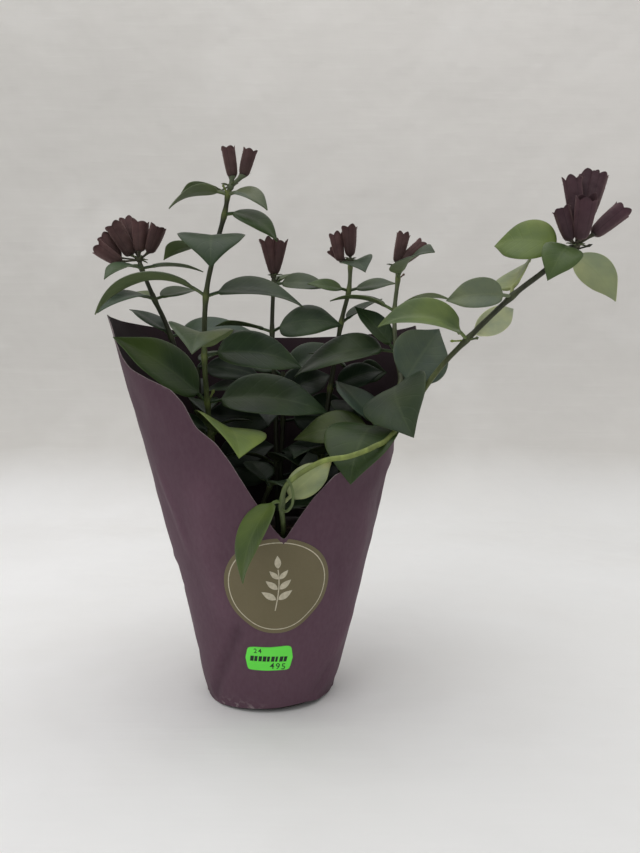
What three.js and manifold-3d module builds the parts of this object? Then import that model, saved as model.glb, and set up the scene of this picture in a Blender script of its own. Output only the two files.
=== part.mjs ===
// A lipstick plant (Aeschynanthus) in its nursery pot, inside a V-cut paper plant sleeve.
// Millimetres, +Z up. The origin is the middle of the pot's foot, on the surface it stands on, and the
// sleeve's V faces -Y.
import * as THREE from "three";
import { mergeVertices } from "three/addons/utils/BufferGeometryUtils.js";
import Module from "manifold-3d";

// ---------- Driving dimensions ----------

const gap = 0.3; // between pieces that touch

const pot = { footRadius: 36.5, rimRadius: 59, height: 105, wall: 1.2, lipHeight: 8, lipStep: 1.6 };
const drainHole = { radius: 4.5, at: 25, count: 4 };
const soilTop = 93;
const soilDome = 2.5; // how much higher the soil is in the middle
const rootDepth = 13; // how far a stem goes down into the soil

// The paper sleeve hugs the pot as far as its rim and goes on widening above it. Its section is an oval
// of four quarters: [height, reach in front, to the right, behind, to the left].
const paper = 0.7;
const girths = [
  [0, 38.5, 41, 38.5, 40.5],
  [20, 43, 45.5, 43, 44],
  [45, 49, 51.5, 49, 48.8],
  [80, 56.8, 60, 57, 57],
  [97, 60.8, 64.2, 60.8, 62],
  [125, 65.4, 70.4, 65, 69.4],
  [234, 85, 96, 85.5, 98],
];
const footLift = 2; // how far the paper's foot curls up in front
// Height of the rim round the sleeve: [angle from -Y towards +X, height]. The V is at 11 degrees, the
// peaks are the tops of the two side seams.
const rim = [
  [-180, 229], [-150, 230], [-115, 233], [-80, 234], [-76, 220], [-70, 208], [-58, 199], [-37, 188],
  [-32, 181], [-27, 168], [-24, 165], [-19, 160], [-13, 150], [-4, 132], [5, 117], [11, 110], [18, 121],
  [24, 130], [34, 142], [45, 147], [60, 161], [72, 182], [86, 212], [100, 231], [140, 229], [180, 229],
];

const sleeveColumn = 9; // degrees between the paper's upright edges, which are closer round the V
const freeShares = [0.3, 0.65, 1]; // rows of points from the pot's rim to the paper's, as shares

const labelSeat = 0.4; // a label lies this far off the paper
const roundLabel = { angle: 8, height: 80, radius: 27.5, thickness: 0.5 };
const priceLabel = { angle: 3, height: 36, width: 26, length: 16, turn: 3, wave: 0.9, thickness: 0.5 };

const stemRadius = { foot: 1.8, tip: 1.2 };
const leafForm = {
  width: 0.58, // of the blade's length
  fold: 14, // degrees that each half rises from the midrib
  thickness: 0.9,
  petioleRadius: 0.95,
  baseFullness: 0.55,
  tipFullness: 0.85,
  tipHalf: 0.35, // half the width that is left at the tip
  sections: [0.07, 0.24, 0.5, 0.78, 1], // shares of the blade's length
};
const calyxForm = { pedicelRadius: 0.9, lobes: 5 };
const coreRadius = 2.1; // of the knob at a stem's tip that the pedicels stand on

// A leafy stem is its route from the soil up, and the leaves that grow from points of that route, by the
// point's number. A leaf is [heading, rise, length, droop, roll, width, fold]: the compass direction and
// the slope in degrees in which its petiole sets out (0 is +X, 90 is +Y), its length in mm along the
// midrib, the degrees that it bends down along that length, and where they differ from the usual form the
// degrees that it leans over to one side, its width, its fold and the share of the bend in its petiole.
const stems = {
  A: {
    route: [[-18, 12], [-45, 18, 160], [-66, 18, 224], [-75, 12, 247], [-82, 8, 266], [-83, 8, 270]],
    leaves: {
      1: [[8, 40, 34, 50], [-165, 50, 32, 40]],
      2: [[167, 45, 37, 30, -20], [17, 17, 59, 30, 35]],
      3: [[-120, 12, 46, 60, -15], [45, 25, 38, 20, 20], [135, 25, 30, 20, -10]],
      4: [[-115, 9, 34, 60, -10], [18, 18, 40, 35, 12]],
    },
  },
  B: {
    route: [
      [-26, -14], [-32, -10, 130], [-35, -14, 160], [-36, -20, 181], [-35, -35, 208], [-33, -40, 241],
      [-28, -42, 264], [-22, -42, 286], [-20, -42, 297], [-19, -42, 300],
    ],
    leaves: {
      2: [[-50, 33, 62, 88, -22, 0.82], [150, 45, 36, 40]],
      3: [[-12, 13, 76, 52, 46, 0.54], [-145, 44, 66, 30, -58, 0.62]],
      4: [[-78, 45, 58, 100, -8, 0.64, 20], [-8, 14, 62, 66, 54, 0.56]],
      5: [[-172, 40, 71, 100, -5], [-10, 20, 58, 60, 34, 0.52]],
      6: [[-87, 41, 53, 120, 3, 0.7, 6], [140, 34, 48, 60, 0, 0.5]],
      7: [[-35, 10, 42, 85, 15, 0.5]],
      8: [[-156, 21, 37, 80, -20], [158, 36, 33, 60], [-40, 15, 32, 80, 15]],
    },
  },
  C: {
    route: [[4, 12], [3, 16, 140], [2, 18, 184], [0, 20, 227], [1, 20, 258], [1, 20, 262]],
    leaves: {
      1: [[-70, 35, 48, 60], [190, 35, 36, 50]],
      2: [[10, 32, 46, 45, 62, 0.62], [195, 30, 50, 60, -30], [-95, -12, 34, 40, 0, 0.66]],
      3: [[-36, 25, 49, 62, 50, 0.8, 8], [168, 22, 40, 30]],
      4: [[-16, 6, 37, 30, 48], [56, 34, 26, 20]],
    },
  },
  D: {
    route: [
      [22, 4], [32, 8, 145], [38, 12, 190], [45, 15, 232], [50, 15, 253], [51, 15, 269], [51, 15, 271],
    ],
    leaves: {
      1: [[10, 35, 36, 50], [-110, 35, 48, 60]],
      2: [[-20, 32, 37, 50, 60, 0.68]],
      3: [[21, 40, 35, 20, 10]],
      4: [[-159, 14, 28, 20, -45], [-21, 14, 31, 20, 40]],
      5: [[-85, 10, 38, 55, 15, 0.66]],
    },
  },
  E: {
    route: [
      [26, 0], [54, -16, 140], [66, -24, 165], [79, -22, 190], [78, -8, 212], [78, 0, 238],
      [80, 0, 258], [79, 0, 264],
    ],
    leaves: {
      2: [[-165, 10, 52, 48, -45], [-112, 13, 56, 98, -4, 0.84], [135, 50, 46, 20, 0, 0.8]],
      3: [[-112, 8, 62, 86, 31, 0.76, 8], [40, 46, 53, 5, 58, 0.82]],
      4: [[178, 12, 72, 60, -35], [165, 55, 40, 20, -40]],
      5: [[173, 35, 43, 50, -10], [-8, 40, 37, 60]],
      6: [[-82, 40, 40, 62, 40, 0.85]],
    },
  },
  F: {
    route: [
      [6, -36], [11, -52, 108], [11, -66, 127], [15, -67, 139], [32, -67, 150], [47, -67, 153],
      [60, -66, 158], [71, -60, 165], [94, -56, 197], [110, -60, 215], [132, -66, 237], [147, -70, 249],
      [158, -74, 259], [161, -75, 261],
    ],
    leaves: {
      2: [[-138, 60, 52, 150, 0, 0.52, 14, 0.65], [20, 42, 38, 20, 50]],
      9: [[-131, 35, 55, 100, -68, 0.5, 28], [4, 35, 38, 40, 80, 0.48, 20]],
      10: [[-148, 6, 37, 86, -80, 0.58, 26], [75, 62, 34, 50, -35, 0.9]],
      12: [[180, 34, 44, 90, -76, 0.72, 8], [-105, 14, 34, 120, -26, 0.7, 8], [4, -26, 36, 45, -6, 0.84, 8]],
    },
  },
  G: {
    route: [[-3, -20], [-3, -28, 116], [2, -32, 132]],
    leaves: {
      1: [[0, 30, 40, 50, 20], [180, 30, 38, 50, -20]],
      2: [[-60, 30, 34, 60], [120, 40, 36, 40]],
    },
  },
  H: {
    route: [[2, 30], [4, 36, 130], [6, 39, 168], [6, 39, 198], [6, 39, 202]],
    leaves: {
      1: [[0, 15, 50, 25, 64, 0.64], [180, 15, 50, 25, -64, 0.64]],
      2: [[-2, 8, 56, 22, 66, 0.62], [182, 8, 58, 22, -66, 0.62]],
      3: [[8, 42, 50, 45, 56], [172, 42, 50, 45, -56]],
    },
  },
  I: {
    route: [[38, 22], [46, 24, 140], [52, 22, 180], [52, 22, 200]],
    leaves: {
      1: [[182, 21, 44, 40, -60, 0.66]],
      2: [[-98, 12, 44, 50], [186, 0, 40, 30, -50]],
      3: [[-5, 5, 24, 20, 70, 0.9], [160, 50, 34, 50]],
    },
  },
  J: {
    route: [[-34, 26], [-42, 26, 140], [-48, 25, 180], [-50, 26, 204]],
    leaves: {
      1: [[-2, 25, 46, 40, 60, 0.66]],
      2: [[-75, 20, 40, 60], [110, 60, 30, 40]],
      3: [[60, 45, 36, 50], [-22, 4, 44, 40, 50]],
    },
  },
};

// The cluster at a stem's tip: each calyx is [heading, rise, pedicel length, length, radius], and where its
// pedicel sets out another way than the calyx stands, that way's heading and rise.
const blooms = {
  A: [
    [-158, 29, 12, 18, 4.5, -159, -10], [168, 57, 14, 18, 4.2, 172, 7], [-165, 61, 6, 23, 4.9, 180, 31],
    [143, 70, 10, 24, 4.6, 125, 45], [-49, 83, 5.5, 20, 4.8, -66, 78], [-20, 62, 8, 18.5, 4.7, -9, 36],
  ],
  B: [[180, 80, 6, 17, 3.7, 0, 78], [0, 75, 10, 15, 3.7, 0, 42]],
  C: [[-131, 76, 3.5, 22, 4.3], [-33, 80, 4, 21, 4.2, -23, 50], [93, 80, 5.5, 22, 4, 88, 56]],
  D: [[180, 79, 6.5, 18.5, 4.2, 180, 0], [-126, 86, 3, 20, 4.8], [160, 45, 5, 13, 3, 143, 0]],
  E: [[12, 76, 3, 19.5, 4], [11, 42, 4.5, 20, 4.2]],
  F: [
    [-92, 63, 4.5, 22, 5.1, -85, 27], [47, 73, 20, 25, 4.9, 50, 58], [31, 67, 18, 26, 4.7, 36, 55],
    [134, 82, 11, 26, 4.5, 90, 78], [-170, 71, 5.5, 18, 4.2, -147, 18], [-4, 43, 10, 20, 4.7, -7, 32],
  ],
};

const colours = {
  sleeve: 0x5b434e,
  labelKhaki: 0x6f6448,
  labelGreen: 0x58d848,
  pot: 0x3a2f2a,
  soil: 0x2b211b,
  leaf: 0x3f5a41,
  calyx: 0x46262b,
};

// ---------- Solids ----------

const wasm = await Module();
wasm.setup();

const radians = THREE.MathUtils.degToRad;

// A closed BufferGeometry as a manifold-3d solid.
function solidOf(geometry) {
  const bare = new THREE.BufferGeometry().setAttribute("position", geometry.getAttribute("position"));
  bare.setIndex(geometry.getIndex());
  const merged = mergeVertices(bare, 1e-4);
  return new wasm.Manifold(
    new wasm.Mesh({
      numProp: 3,
      vertProperties: new Float32Array(merged.attributes.position.array),
      triVerts: new Uint32Array(merged.index.array),
    }),
  );
}

function geometryOf(solid) {
  const mesh = solid.getMesh();
  const geometry = new THREE.BufferGeometry();
  geometry.setAttribute("position", new THREE.BufferAttribute(mesh.vertProperties, 3));
  geometry.setIndex(new THREE.BufferAttribute(mesh.triVerts, 1));
  return geometry;
}

// A closed skin over rings of points, all of the same count and each seen anticlockwise from its far end,
// with a flat fan at both ends.
function loft(rings) {
  const sides = rings[0].length;
  const positions = rings.flat().flatMap((p) => [p.x, p.y, p.z]);
  const faces = [];
  for (let i = 0; i + 1 < rings.length; i += 1) {
    for (let j = 0; j < sides; j += 1) {
      const a = i * sides + j;
      const b = i * sides + ((j + 1) % sides);
      faces.push(a, b, b + sides, a, b + sides, a + sides);
    }
  }
  const last = (rings.length - 1) * sides;
  for (let j = 1; j + 1 < sides; j += 1) {
    faces.push(0, j + 1, j);
    faces.push(last, last + j, last + j + 1);
  }
  const geometry = new THREE.BufferGeometry();
  geometry.setAttribute("position", new THREE.Float32BufferAttribute(positions, 3));
  geometry.setIndex(faces);
  return geometry;
}

// ---------- Leaves ----------

const petioleLength = (length) => 3 + 0.08 * length;

// Half the blade's width at a share u of its length, for a widest half of 1.
function bladeOutline(u) {
  const { baseFullness: a, tipFullness: b } = leafForm;
  const widest = a / (a + b);
  const scale = widest ** a * (1 - widest) ** b;
  return (u ** a * (1 - u) ** b) / scale;
}

// The midrib point and its three directions at a distance s along a leaf.
function leafFrame(foot, leaf, s) {
  const [heading, rise, length, droop, roll = 0, , , early = petioleLength(length) / length] = leaf;
  const h = radians(heading);
  const r = radians(rise);
  const out = new THREE.Vector3(Math.cos(h) * Math.cos(r), Math.sin(h) * Math.cos(r), Math.sin(r));
  const side = new THREE.Vector3(-Math.sin(h), Math.cos(h), 0).applyAxisAngle(out, radians(roll));
  const up = out.clone().cross(side);
  const petiole = petioleLength(length);
  const point = foot.clone();
  let turned = 0;
  for (const [from, to, share] of [[0, petiole, early], [petiole, length, 1 - early]]) {
    if (s <= from) break;
    const bend = (radians(Math.max(droop, 1)) * share) / (to - from);
    const end = turned + bend * (Math.min(s, to) - from);
    point.addScaledVector(out, (Math.sin(end) - Math.sin(turned)) / bend);
    point.addScaledVector(up, (Math.cos(end) - Math.cos(turned)) / bend);
    turned = end;
  }
  const normal = up.clone().multiplyScalar(Math.cos(turned)).addScaledVector(out, Math.sin(turned));
  return { point, side, normal };
}

// One leaf with its petiole: a flat six-point ring swept along the midrib.
function leafSolid(foot, leaf) {
  const [, , length, , , width = leafForm.width, fold = leafForm.fold] = leaf;
  const petiole = petioleLength(length);
  const blade = length - petiole;
  const stations = [0, petiole, ...leafForm.sections.map((u) => petiole + blade * u)];
  const rings = stations.map((s) => {
    const u = Math.max(0, (s - petiole) / blade);
    const least = u < 0.5 ? leafForm.petioleRadius : leafForm.tipHalf;
    const half = Math.max((bladeOutline(u) * width * blade) / 2, least);
    const spread = u > 0 ? 1 : 0;
    const lift = spread * half * Math.sin(radians(fold));
    const across = half * (spread ? Math.cos(radians(fold)) : 1);
    const middle = spread ? leafForm.thickness / 2 : leafForm.petioleRadius;
    const edge = spread ? leafForm.thickness * 0.4 : leafForm.petioleRadius / 2;
    const { point, side, normal } = leafFrame(foot, leaf, s);
    const place = (x, z) => point.clone().addScaledVector(side, x).addScaledVector(normal, z);
    return [
      place(-across, lift + edge), place(-across, lift - edge), place(0, -middle),
      place(across, lift - edge), place(across, lift + edge), place(0, middle),
    ];
  });
  return solidOf(loft(rings));
}

// ---------- Stems ----------

const stemSides = 5;
const soilPoint = ([x, y, z = soilTop - rootDepth]) => new THREE.Vector3(x, y, z);
const stemCurve = (stem) => new THREE.CatmullRomCurve3(stem.route.map(soilPoint), false, "catmullrom", 0.5);

// A tapering round tube along a curve from parameter 0 to `end`.
function tube(curve, steps, radiusAt, end = 1) {
  const rings = [];
  let across = new THREE.Vector3(1, 0, 0);
  for (let i = 0; i <= steps; i += 1) {
    const t = (end * i) / steps;
    const along = curve.getTangent(t);
    across = across.clone().addScaledVector(along, -across.dot(along)).normalize();
    const other = along.clone().cross(across);
    const centre = curve.getPoint(t);
    rings.push(
      Array.from({ length: stemSides }, (_, j) => {
        const angle = (2 * Math.PI * j) / stemSides;
        return centre
          .clone()
          .addScaledVector(across, radiusAt(t) * Math.cos(angle))
          .addScaledVector(other, radiusAt(t) * Math.sin(angle));
      }),
    );
  }
  return solidOf(loft(rings));
}

const taper = (t) => THREE.MathUtils.lerp(stemRadius.foot, stemRadius.tip, t);

function leafyStem(stem) {
  const curve = stemCurve(stem);
  const segments = stem.route.length - 1;
  const parts = [tube(curve, segments * 2, taper)];
  for (const [point, leaves] of Object.entries(stem.leaves)) {
    for (const leaf of leaves) parts.push(leafSolid(soilPoint(stem.route[point]), leaf));
  }
  return wasm.Manifold.union(parts);
}

// ---------- Blooms ----------

const calyxSides = 2 * calyxForm.lobes;
// A calyx's rings: the shares of its length at a lobe and between two, then those of its radius.
const calyxRings = [
  [0.22, 0.22, 0.96, 0.96],
  [0.78, 0.78, 0.88, 0.88],
  [1, 0.84, 1.04, 0.9],
  [0.7, 0.7, 0.5, 0.5], // the floor of the mouth
];

// The way of a heading and a rise in degrees.
function wayOf(heading, rise) {
  const [h, r] = [radians(heading), radians(rise)];
  return new THREE.Vector3(Math.cos(h) * Math.cos(r), Math.sin(h) * Math.cos(r), Math.sin(r));
}

// One calyx on its pedicel: a tube with five short lobes round a shallow mouth.
function calyxSolid(foot, row) {
  const [heading, rise, pedicel, length, radius, stalkHeading = heading, stalkRise = rise] = row;
  const out = wayOf(heading, rise);
  const side = new THREE.Vector3(-Math.sin(radians(heading)), Math.cos(radians(heading)), 0);
  const up = out.clone().cross(side);
  const shift = wayOf(stalkHeading, stalkRise).sub(out).multiplyScalar(pedicel);
  const ring = (tip, notch, tipRadius, notchRadius = tipRadius) =>
    Array.from({ length: calyxSides }, (_, j) => {
      const angle = (2 * Math.PI * j) / calyxSides;
      const reach = j % 2 ? notch : tip;
      const around = j % 2 ? notchRadius : tipRadius;
      return foot
        .clone()
        .addScaledVector(out, reach)
        .addScaledVector(shift, reach > 0 ? 1 : 0)
        .addScaledVector(side, around * Math.cos(angle))
        .addScaledVector(up, around * Math.sin(angle));
    });
  const level = (share) => pedicel + share * length;
  const upper = calyxRings.map(([lobe, notch, atLobe, atNotch]) =>
    ring(level(lobe), level(notch), radius * atLobe, radius * atNotch),
  );
  const { pedicelRadius } = calyxForm;
  return solidOf(loft([ring(0, 0, pedicelRadius), ring(pedicel, pedicel, pedicelRadius * 1.2), ...upper]));
}

function bloomSolid(stem, calyces) {
  const tip = soilPoint(stem.route.at(-1));
  const along = stemCurve(stem).getTangent(1);
  const foot = tip.clone().addScaledVector(along, gap + coreRadius * 0.55);
  const core = new THREE.SphereGeometry(coreRadius, 7, 4).translate(foot.x, foot.y, foot.z);
  const below = tip.clone().addScaledVector(along, gap);
  const body = wasm.Manifold.union([solidOf(core), ...calyces.map((calyx) => calyxSolid(foot, calyx))]);
  return body.trimByPlane(along.toArray(), below.dot(along));
}

// ---------- Sleeve, labels, pot and soil ----------

// Height of the rim at an angle round the sleeve.
function rimHeight(angle) {
  const i = rim.findIndex(([a]) => a >= angle);
  if (i <= 0) return rim[0][1];
  const [a0, z0] = rim[i - 1];
  const [a1, z1] = rim[i];
  return THREE.MathUtils.lerp(z0, z1, (angle - a0) / (a1 - a0));
}

// The sleeve's reaches [front, right, behind, left] at a height.
function girthAt(height) {
  const i = Math.max(1, girths.findIndex(([z]) => z >= height));
  const [low, high] = [girths[i - 1], girths[i]];
  const share = (height - low[0]) / (high[0] - low[0]);
  return [1, 2, 3, 4].map((k) => THREE.MathUtils.lerp(low[k], high[k], share));
}

// The point at an angle and height, this far outside the paper's outer face.
function onSleeve(angle, height, outside) {
  const a = radians(angle);
  const [front, right, behind, left] = girthAt(height);
  const across = (Math.sin(a) > 0 ? right : left) + outside;
  const deep = (Math.cos(a) > 0 ? front : behind) + outside;
  const reach = 1 / Math.hypot(Math.sin(a) / across, Math.cos(a) / deep);
  return new THREE.Vector3(reach * Math.sin(a), -reach * Math.cos(a), height);
}

const footHeight = (angle) => footLift * Math.max(0, Math.cos(radians(angle - 10))) ** 2;

function sleeveSolid() {
  const angles = [];
  for (let angle = -180; angle < 180; angle += sleeveColumn) angles.push(angle);
  for (const [angle] of rim) if (Math.abs(angle) < 60) angles.push(angle);
  angles.sort((p, q) => p - q);
  const around = angles.filter((angle, i) => i === 0 || angle - angles[i - 1] > 1.6);
  const hugging = girths.slice(1, 5).map(([height]) => height);
  const free = hugging.at(-1);
  const rings = around.map((angle) => {
    const rise = rimHeight(angle) - free;
    const heights = [footHeight(angle), ...hugging, ...freeShares.map((share) => free + rise * share)];
    const outer = heights.map((height) => onSleeve(angle, height, 0));
    const inner = heights.map((height) => onSleeve(angle, height, -paper));
    return [...inner, ...outer.reverse()];
  });
  return solidOf(closedLoft(rings));
}

// A skin over rings that come back to the first one.
function closedLoft(rings) {
  const sides = rings[0].length;
  const positions = rings.flat().flatMap((p) => [p.x, p.y, p.z]);
  const faces = [];
  rings.forEach((_, i) => {
    const next = (i + 1) % rings.length;
    for (let j = 0; j < sides; j += 1) {
      const k = (j + 1) % sides;
      const [a, b, c, d] = [i * sides + j, i * sides + k, next * sides + k, next * sides + j];
      faces.push(a, b, c, a, c, d);
    }
  });
  const geometry = new THREE.BufferGeometry();
  geometry.setAttribute("position", new THREE.Float32BufferAttribute(positions, 3));
  geometry.setIndex(faces);
  return geometry;
}

// A thin plate with its back a gap off the paper, from a flat outline laid round the sleeve. `outline` is
// in mm from the plate's middle, and the plate is filled with smaller copies of it.
function plateSolid({ angle, height, thickness, turn = 0 }, outline, shrinks) {
  const girth = onSleeve(angle, height, 0).setZ(0).length();
  const lay = (x, z, outside) => {
    const c = Math.cos(radians(turn));
    const s = Math.sin(radians(turn));
    const along = x * c - z * s;
    const up = x * s + z * c;
    return onSleeve(angle + THREE.MathUtils.radToDeg(along / girth), height + up, outside);
  };
  const ring = (share, outside) => outline.map(([x, z]) => lay(x * share, z * share, outside));
  const rings = [
    ...shrinks.map((share) => ring(share, labelSeat)),
    ...shrinks.map((share) => ring(share, labelSeat + thickness)).reverse(),
  ];
  return solidOf(loft(rings));
}

function roundLabelSolid() {
  const points = 24;
  const outline = Array.from({ length: points }, (_, i) => {
    const a = (2 * Math.PI * i) / points;
    return [roundLabel.radius * Math.cos(a), roundLabel.radius * Math.sin(a)];
  });
  return plateSolid(roundLabel, outline, [0.2, 0.6, 1]);
}

function priceLabelSolid() {
  const { width, length, wave } = priceLabel;
  const outline = [];
  const steps = 8;
  for (let i = 0; i <= steps; i += 1) {
    const z = length * (i / steps - 0.5);
    outline.push([width / 2 + wave * Math.sin((2 * Math.PI * i) / steps) * 0.5, z]);
  }
  for (let i = 1; i < 4; i += 1) outline.push([width * (0.5 - i / 4), length / 2]);
  for (let i = steps; i >= 0; i -= 1) {
    const z = length * (i / steps - 0.5);
    outline.push([-width / 2 + wave * Math.sin((2 * Math.PI * i) / steps) * 0.5, z]);
  }
  for (let i = 1; i < 4; i += 1) outline.push([width * (i / 4 - 0.5), -length / 2]);
  return plateSolid(priceLabel, outline, [0.45, 1]);
}

const turned = (profile, sides) => {
  const points = profile.map(([r, z]) => new THREE.Vector2(r, z));
  return solidOf(new THREE.LatheGeometry(points, sides).rotateX(Math.PI / 2));
};

const potSides = 36;
const potSlope = (pot.rimRadius - pot.lipStep - pot.footRadius) / (pot.height - pot.lipHeight);
const potOuter = (z) => pot.footRadius + potSlope * z;

function potSolid() {
  const lipFoot = pot.height - pot.lipHeight;
  const body = turned(
    [
      [0, 0], [pot.footRadius, 0], [potOuter(lipFoot), lipFoot], [pot.rimRadius, lipFoot],
      [pot.rimRadius, pot.height], [pot.rimRadius - pot.wall, pot.height],
      [potOuter(lipFoot) - pot.wall, lipFoot], [potOuter(pot.wall) - pot.wall, pot.wall], [0, pot.wall],
    ],
    potSides,
  );
  const holes = Array.from({ length: drainHole.count }, (_, i) => {
    const a = (2 * Math.PI * (i + 0.5)) / drainHole.count;
    const drill = new THREE.CylinderGeometry(drainHole.radius, drainHole.radius, 10, 10).rotateX(Math.PI / 2);
    return solidOf(drill.translate(drainHole.at * Math.cos(a), drainHole.at * Math.sin(a), 0));
  });
  return body.subtract(wasm.Manifold.union(holes));
}

function soilSolid() {
  const floor = pot.wall + gap;
  const inside = (z) => potOuter(z) - pot.wall - gap;
  const profile = [
    [0, floor], [inside(floor), floor], [inside(soilTop), soilTop], [30, soilTop + 1], [0, soilTop + soilDome],
  ];
  const holes = Object.values(stems).map((stem) => tube(holePath(stem), 6, () => stemRadius.foot + gap));
  return turned(profile, potSides).subtract(wasm.Manifold.union(holes));
}

// The stretch of a stem's route that crosses the soil, begun a gap lower.
function holePath(stem) {
  const curve = stemCurve(stem);
  const down = curve.getTangent(0).multiplyScalar(-gap);
  const path = new THREE.Curve();
  const stretch = 0.7 / (stem.route.length - 1);
  path.getPoint = (t) => (t === 0 ? curve.getPoint(0).add(down) : curve.getPoint(t * stretch));
  path.getTangent = (t) => curve.getTangent(t * stretch);
  return path;
}

// ---------- The part ----------

const part = new THREE.Group();
part.name = "lipstick_plant";

function add(name, solid, color, roughness = 0.6) {
  const material = new THREE.MeshStandardMaterial({ color, roughness, metalness: 0 });
  const mesh = new THREE.Mesh(geometryOf(solid), material);
  mesh.name = name;
  part.add(mesh);
}

add("sleeve", sleeveSolid(), colours.sleeve);
add("label_round", roundLabelSolid(), colours.labelKhaki, 0.5);
add("label_price", priceLabelSolid(), colours.labelGreen, 0.5);
add("pot", potSolid(), colours.pot, 0.5);
add("soil", soilSolid(), colours.soil, 1);
for (const [name, stem] of Object.entries(stems)) add(`stem_${name}`, leafyStem(stem), colours.leaf, 0.4);
for (const [name, calyces] of Object.entries(blooms)) {
  add(`bloom_${name}`, bloomSolid(stems[name], calyces), colours.calyx, 0.7);
}

export default part;
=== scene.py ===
import math
import random

import bpy
from mathutils import Matrix, Vector, noise


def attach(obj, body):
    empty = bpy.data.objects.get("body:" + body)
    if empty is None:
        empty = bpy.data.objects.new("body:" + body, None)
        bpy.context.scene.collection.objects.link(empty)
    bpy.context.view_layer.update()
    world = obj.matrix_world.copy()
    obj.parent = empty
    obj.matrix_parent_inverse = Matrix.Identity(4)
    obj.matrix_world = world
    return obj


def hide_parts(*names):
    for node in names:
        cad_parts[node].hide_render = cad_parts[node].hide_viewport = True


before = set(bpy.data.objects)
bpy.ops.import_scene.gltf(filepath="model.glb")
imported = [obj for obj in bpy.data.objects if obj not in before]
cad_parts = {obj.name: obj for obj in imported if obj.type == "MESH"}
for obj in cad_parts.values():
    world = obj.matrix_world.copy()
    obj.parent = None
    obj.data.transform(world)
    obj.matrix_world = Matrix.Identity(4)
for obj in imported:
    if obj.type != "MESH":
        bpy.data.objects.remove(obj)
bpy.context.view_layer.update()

# ---------- The nursery pot ----------
# A 12 cm pot drawn from one thin sheet of brown-black plastic over a mould, with a rolled lip and four drain
# holes punched in its foot. It stands inside the paper and shows only from above and below.

MM = 0.001
foot_radius, rim_radius, pot_height, pot_wall = 36.5, 59.0, 105.0, 1.2
lip_height, lip_step = 8.0, 1.6
pot_slope = (rim_radius - lip_step - foot_radius) / (pot_height - lip_height)


def pot_outer(z):
    return foot_radius + pot_slope * z


def pot_inner(z):
    return pot_outer(z) - pot_wall


def piece_of(name, points, faces, edges=()):
    """A smooth mesh object at the origin, from points in millimetres."""
    mesh = bpy.data.meshes.new(name)
    mesh.from_pydata([(x * MM, y * MM, z * MM) for x, y, z in points], edges, faces)
    mesh.shade_smooth()
    piece = bpy.data.objects.new(name, mesh)
    bpy.context.scene.collection.objects.link(piece)
    return piece


def bands(first, around, rings, clockwise=False):
    """The quads between rings of points that follow each other."""
    quads = []
    for k in range(rings - 1):
        for i in range(around):
            a = first + k * around + i
            b = first + k * around + (i + 1) % around
            quads.append((a, a + around, b + around, b) if clockwise else (a, b, b + around, a + around))
    return quads


def turned(name, profile, steps=96):
    """A closed body of revolution about Z from a profile of (radius, height) that starts and ends on the axis."""
    turns = [2 * math.pi * i / steps for i in range(steps)]
    points = [(0, 0, profile[0][1])]
    points += [(r * math.cos(a), r * math.sin(a), z) for r, z in profile[1:-1] for a in turns]
    points.append((0, 0, profile[-1][1]))
    pole = len(points) - 1
    faces = [(0, 1 + (i + 1) % steps, 1 + i) for i in range(steps)]
    faces += bands(1, steps, len(profile) - 2)
    faces += [(pole, pole - steps + i, pole - steps + (i + 1) % steps) for i in range(steps)]
    return piece_of(name, points, faces)


def link(value, socket):
    """Links an output to an input. A node stands for its first output."""
    socket.id_data.links.new(value.outputs[0] if isinstance(value, bpy.types.Node) else value, socket)


def put(tree, kind, sockets=None, **settings):
    """A node in a tree, with its properties set and its inputs set or linked."""
    node = tree.nodes.new(kind)
    for key, value in settings.items():
        setattr(node, key, value)
    for key, value in (sockets or {}).items():
        socket = node.inputs[key]
        if isinstance(value, (bpy.types.Node, bpy.types.NodeSocket)):
            link(value, socket)
        else:
            socket.default_value = (*value, 1) if socket.type == "RGBA" else value
    return node


def growth(name, **sizes):
    """An empty Geometry Nodes tree with a mesh going in and out, and these named inputs for its sizes."""
    tree = bpy.data.node_groups.new(name, "GeometryNodeTree")
    tree.interface.new_socket("Geometry", in_out="INPUT", socket_type="NodeSocketGeometry")
    for label, value in sizes.items():
        kind = {int: "NodeSocketInt", float: "NodeSocketFloat"}.get(type(value), "NodeSocketMaterial")
        tree.interface.new_socket(label, in_out="INPUT", socket_type=kind).default_value = value
    tree.interface.new_socket("Geometry", in_out="OUTPUT", socket_type="NodeSocketGeometry")
    return tree, tree.nodes.new("NodeGroupInput").outputs, tree.nodes.new("NodeGroupOutput").inputs["Geometry"]


def realized(geometry):
    return put(geometry.id_data, "GeometryNodeRealizeInstances", {"Geometry": geometry})


def coated(geometry, finish):
    return put(geometry.id_data, "GeometryNodeSetMaterial", {"Geometry": geometry, "Material": finish})


def grow(piece, tree):
    """Runs a tree on a piece at the tree's own sizes, and keeps the result as the piece's plain mesh."""
    modifier = piece.modifiers.new(tree.name, "NODES")
    modifier.node_group = tree
    for item in tree.interface.items_tree:
        if item.in_out == "INPUT" and item.socket_type != "NodeSocketGeometry":
            modifier[item.identifier] = item.default_value
    graph = bpy.context.evaluated_depsgraph_get()
    grown = bpy.data.meshes.new_from_object(
        piece.evaluated_get(graph), preserve_all_data_layers=True, depsgraph=graph
    )
    piece.modifiers.remove(modifier)
    piece.data = grown
    grown.name = piece.name


def finish_of(name, **sockets):
    """A new material: its node tree and its Principled shader, with these sockets set."""
    material = bpy.data.materials.new(name)
    material.use_nodes = True
    shader = material.node_tree.nodes["Principled BSDF"]
    for key, value in sockets.items():
        shader.inputs[key.replace("_", " ")].default_value = value
    return material, material.node_tree, shader


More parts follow.
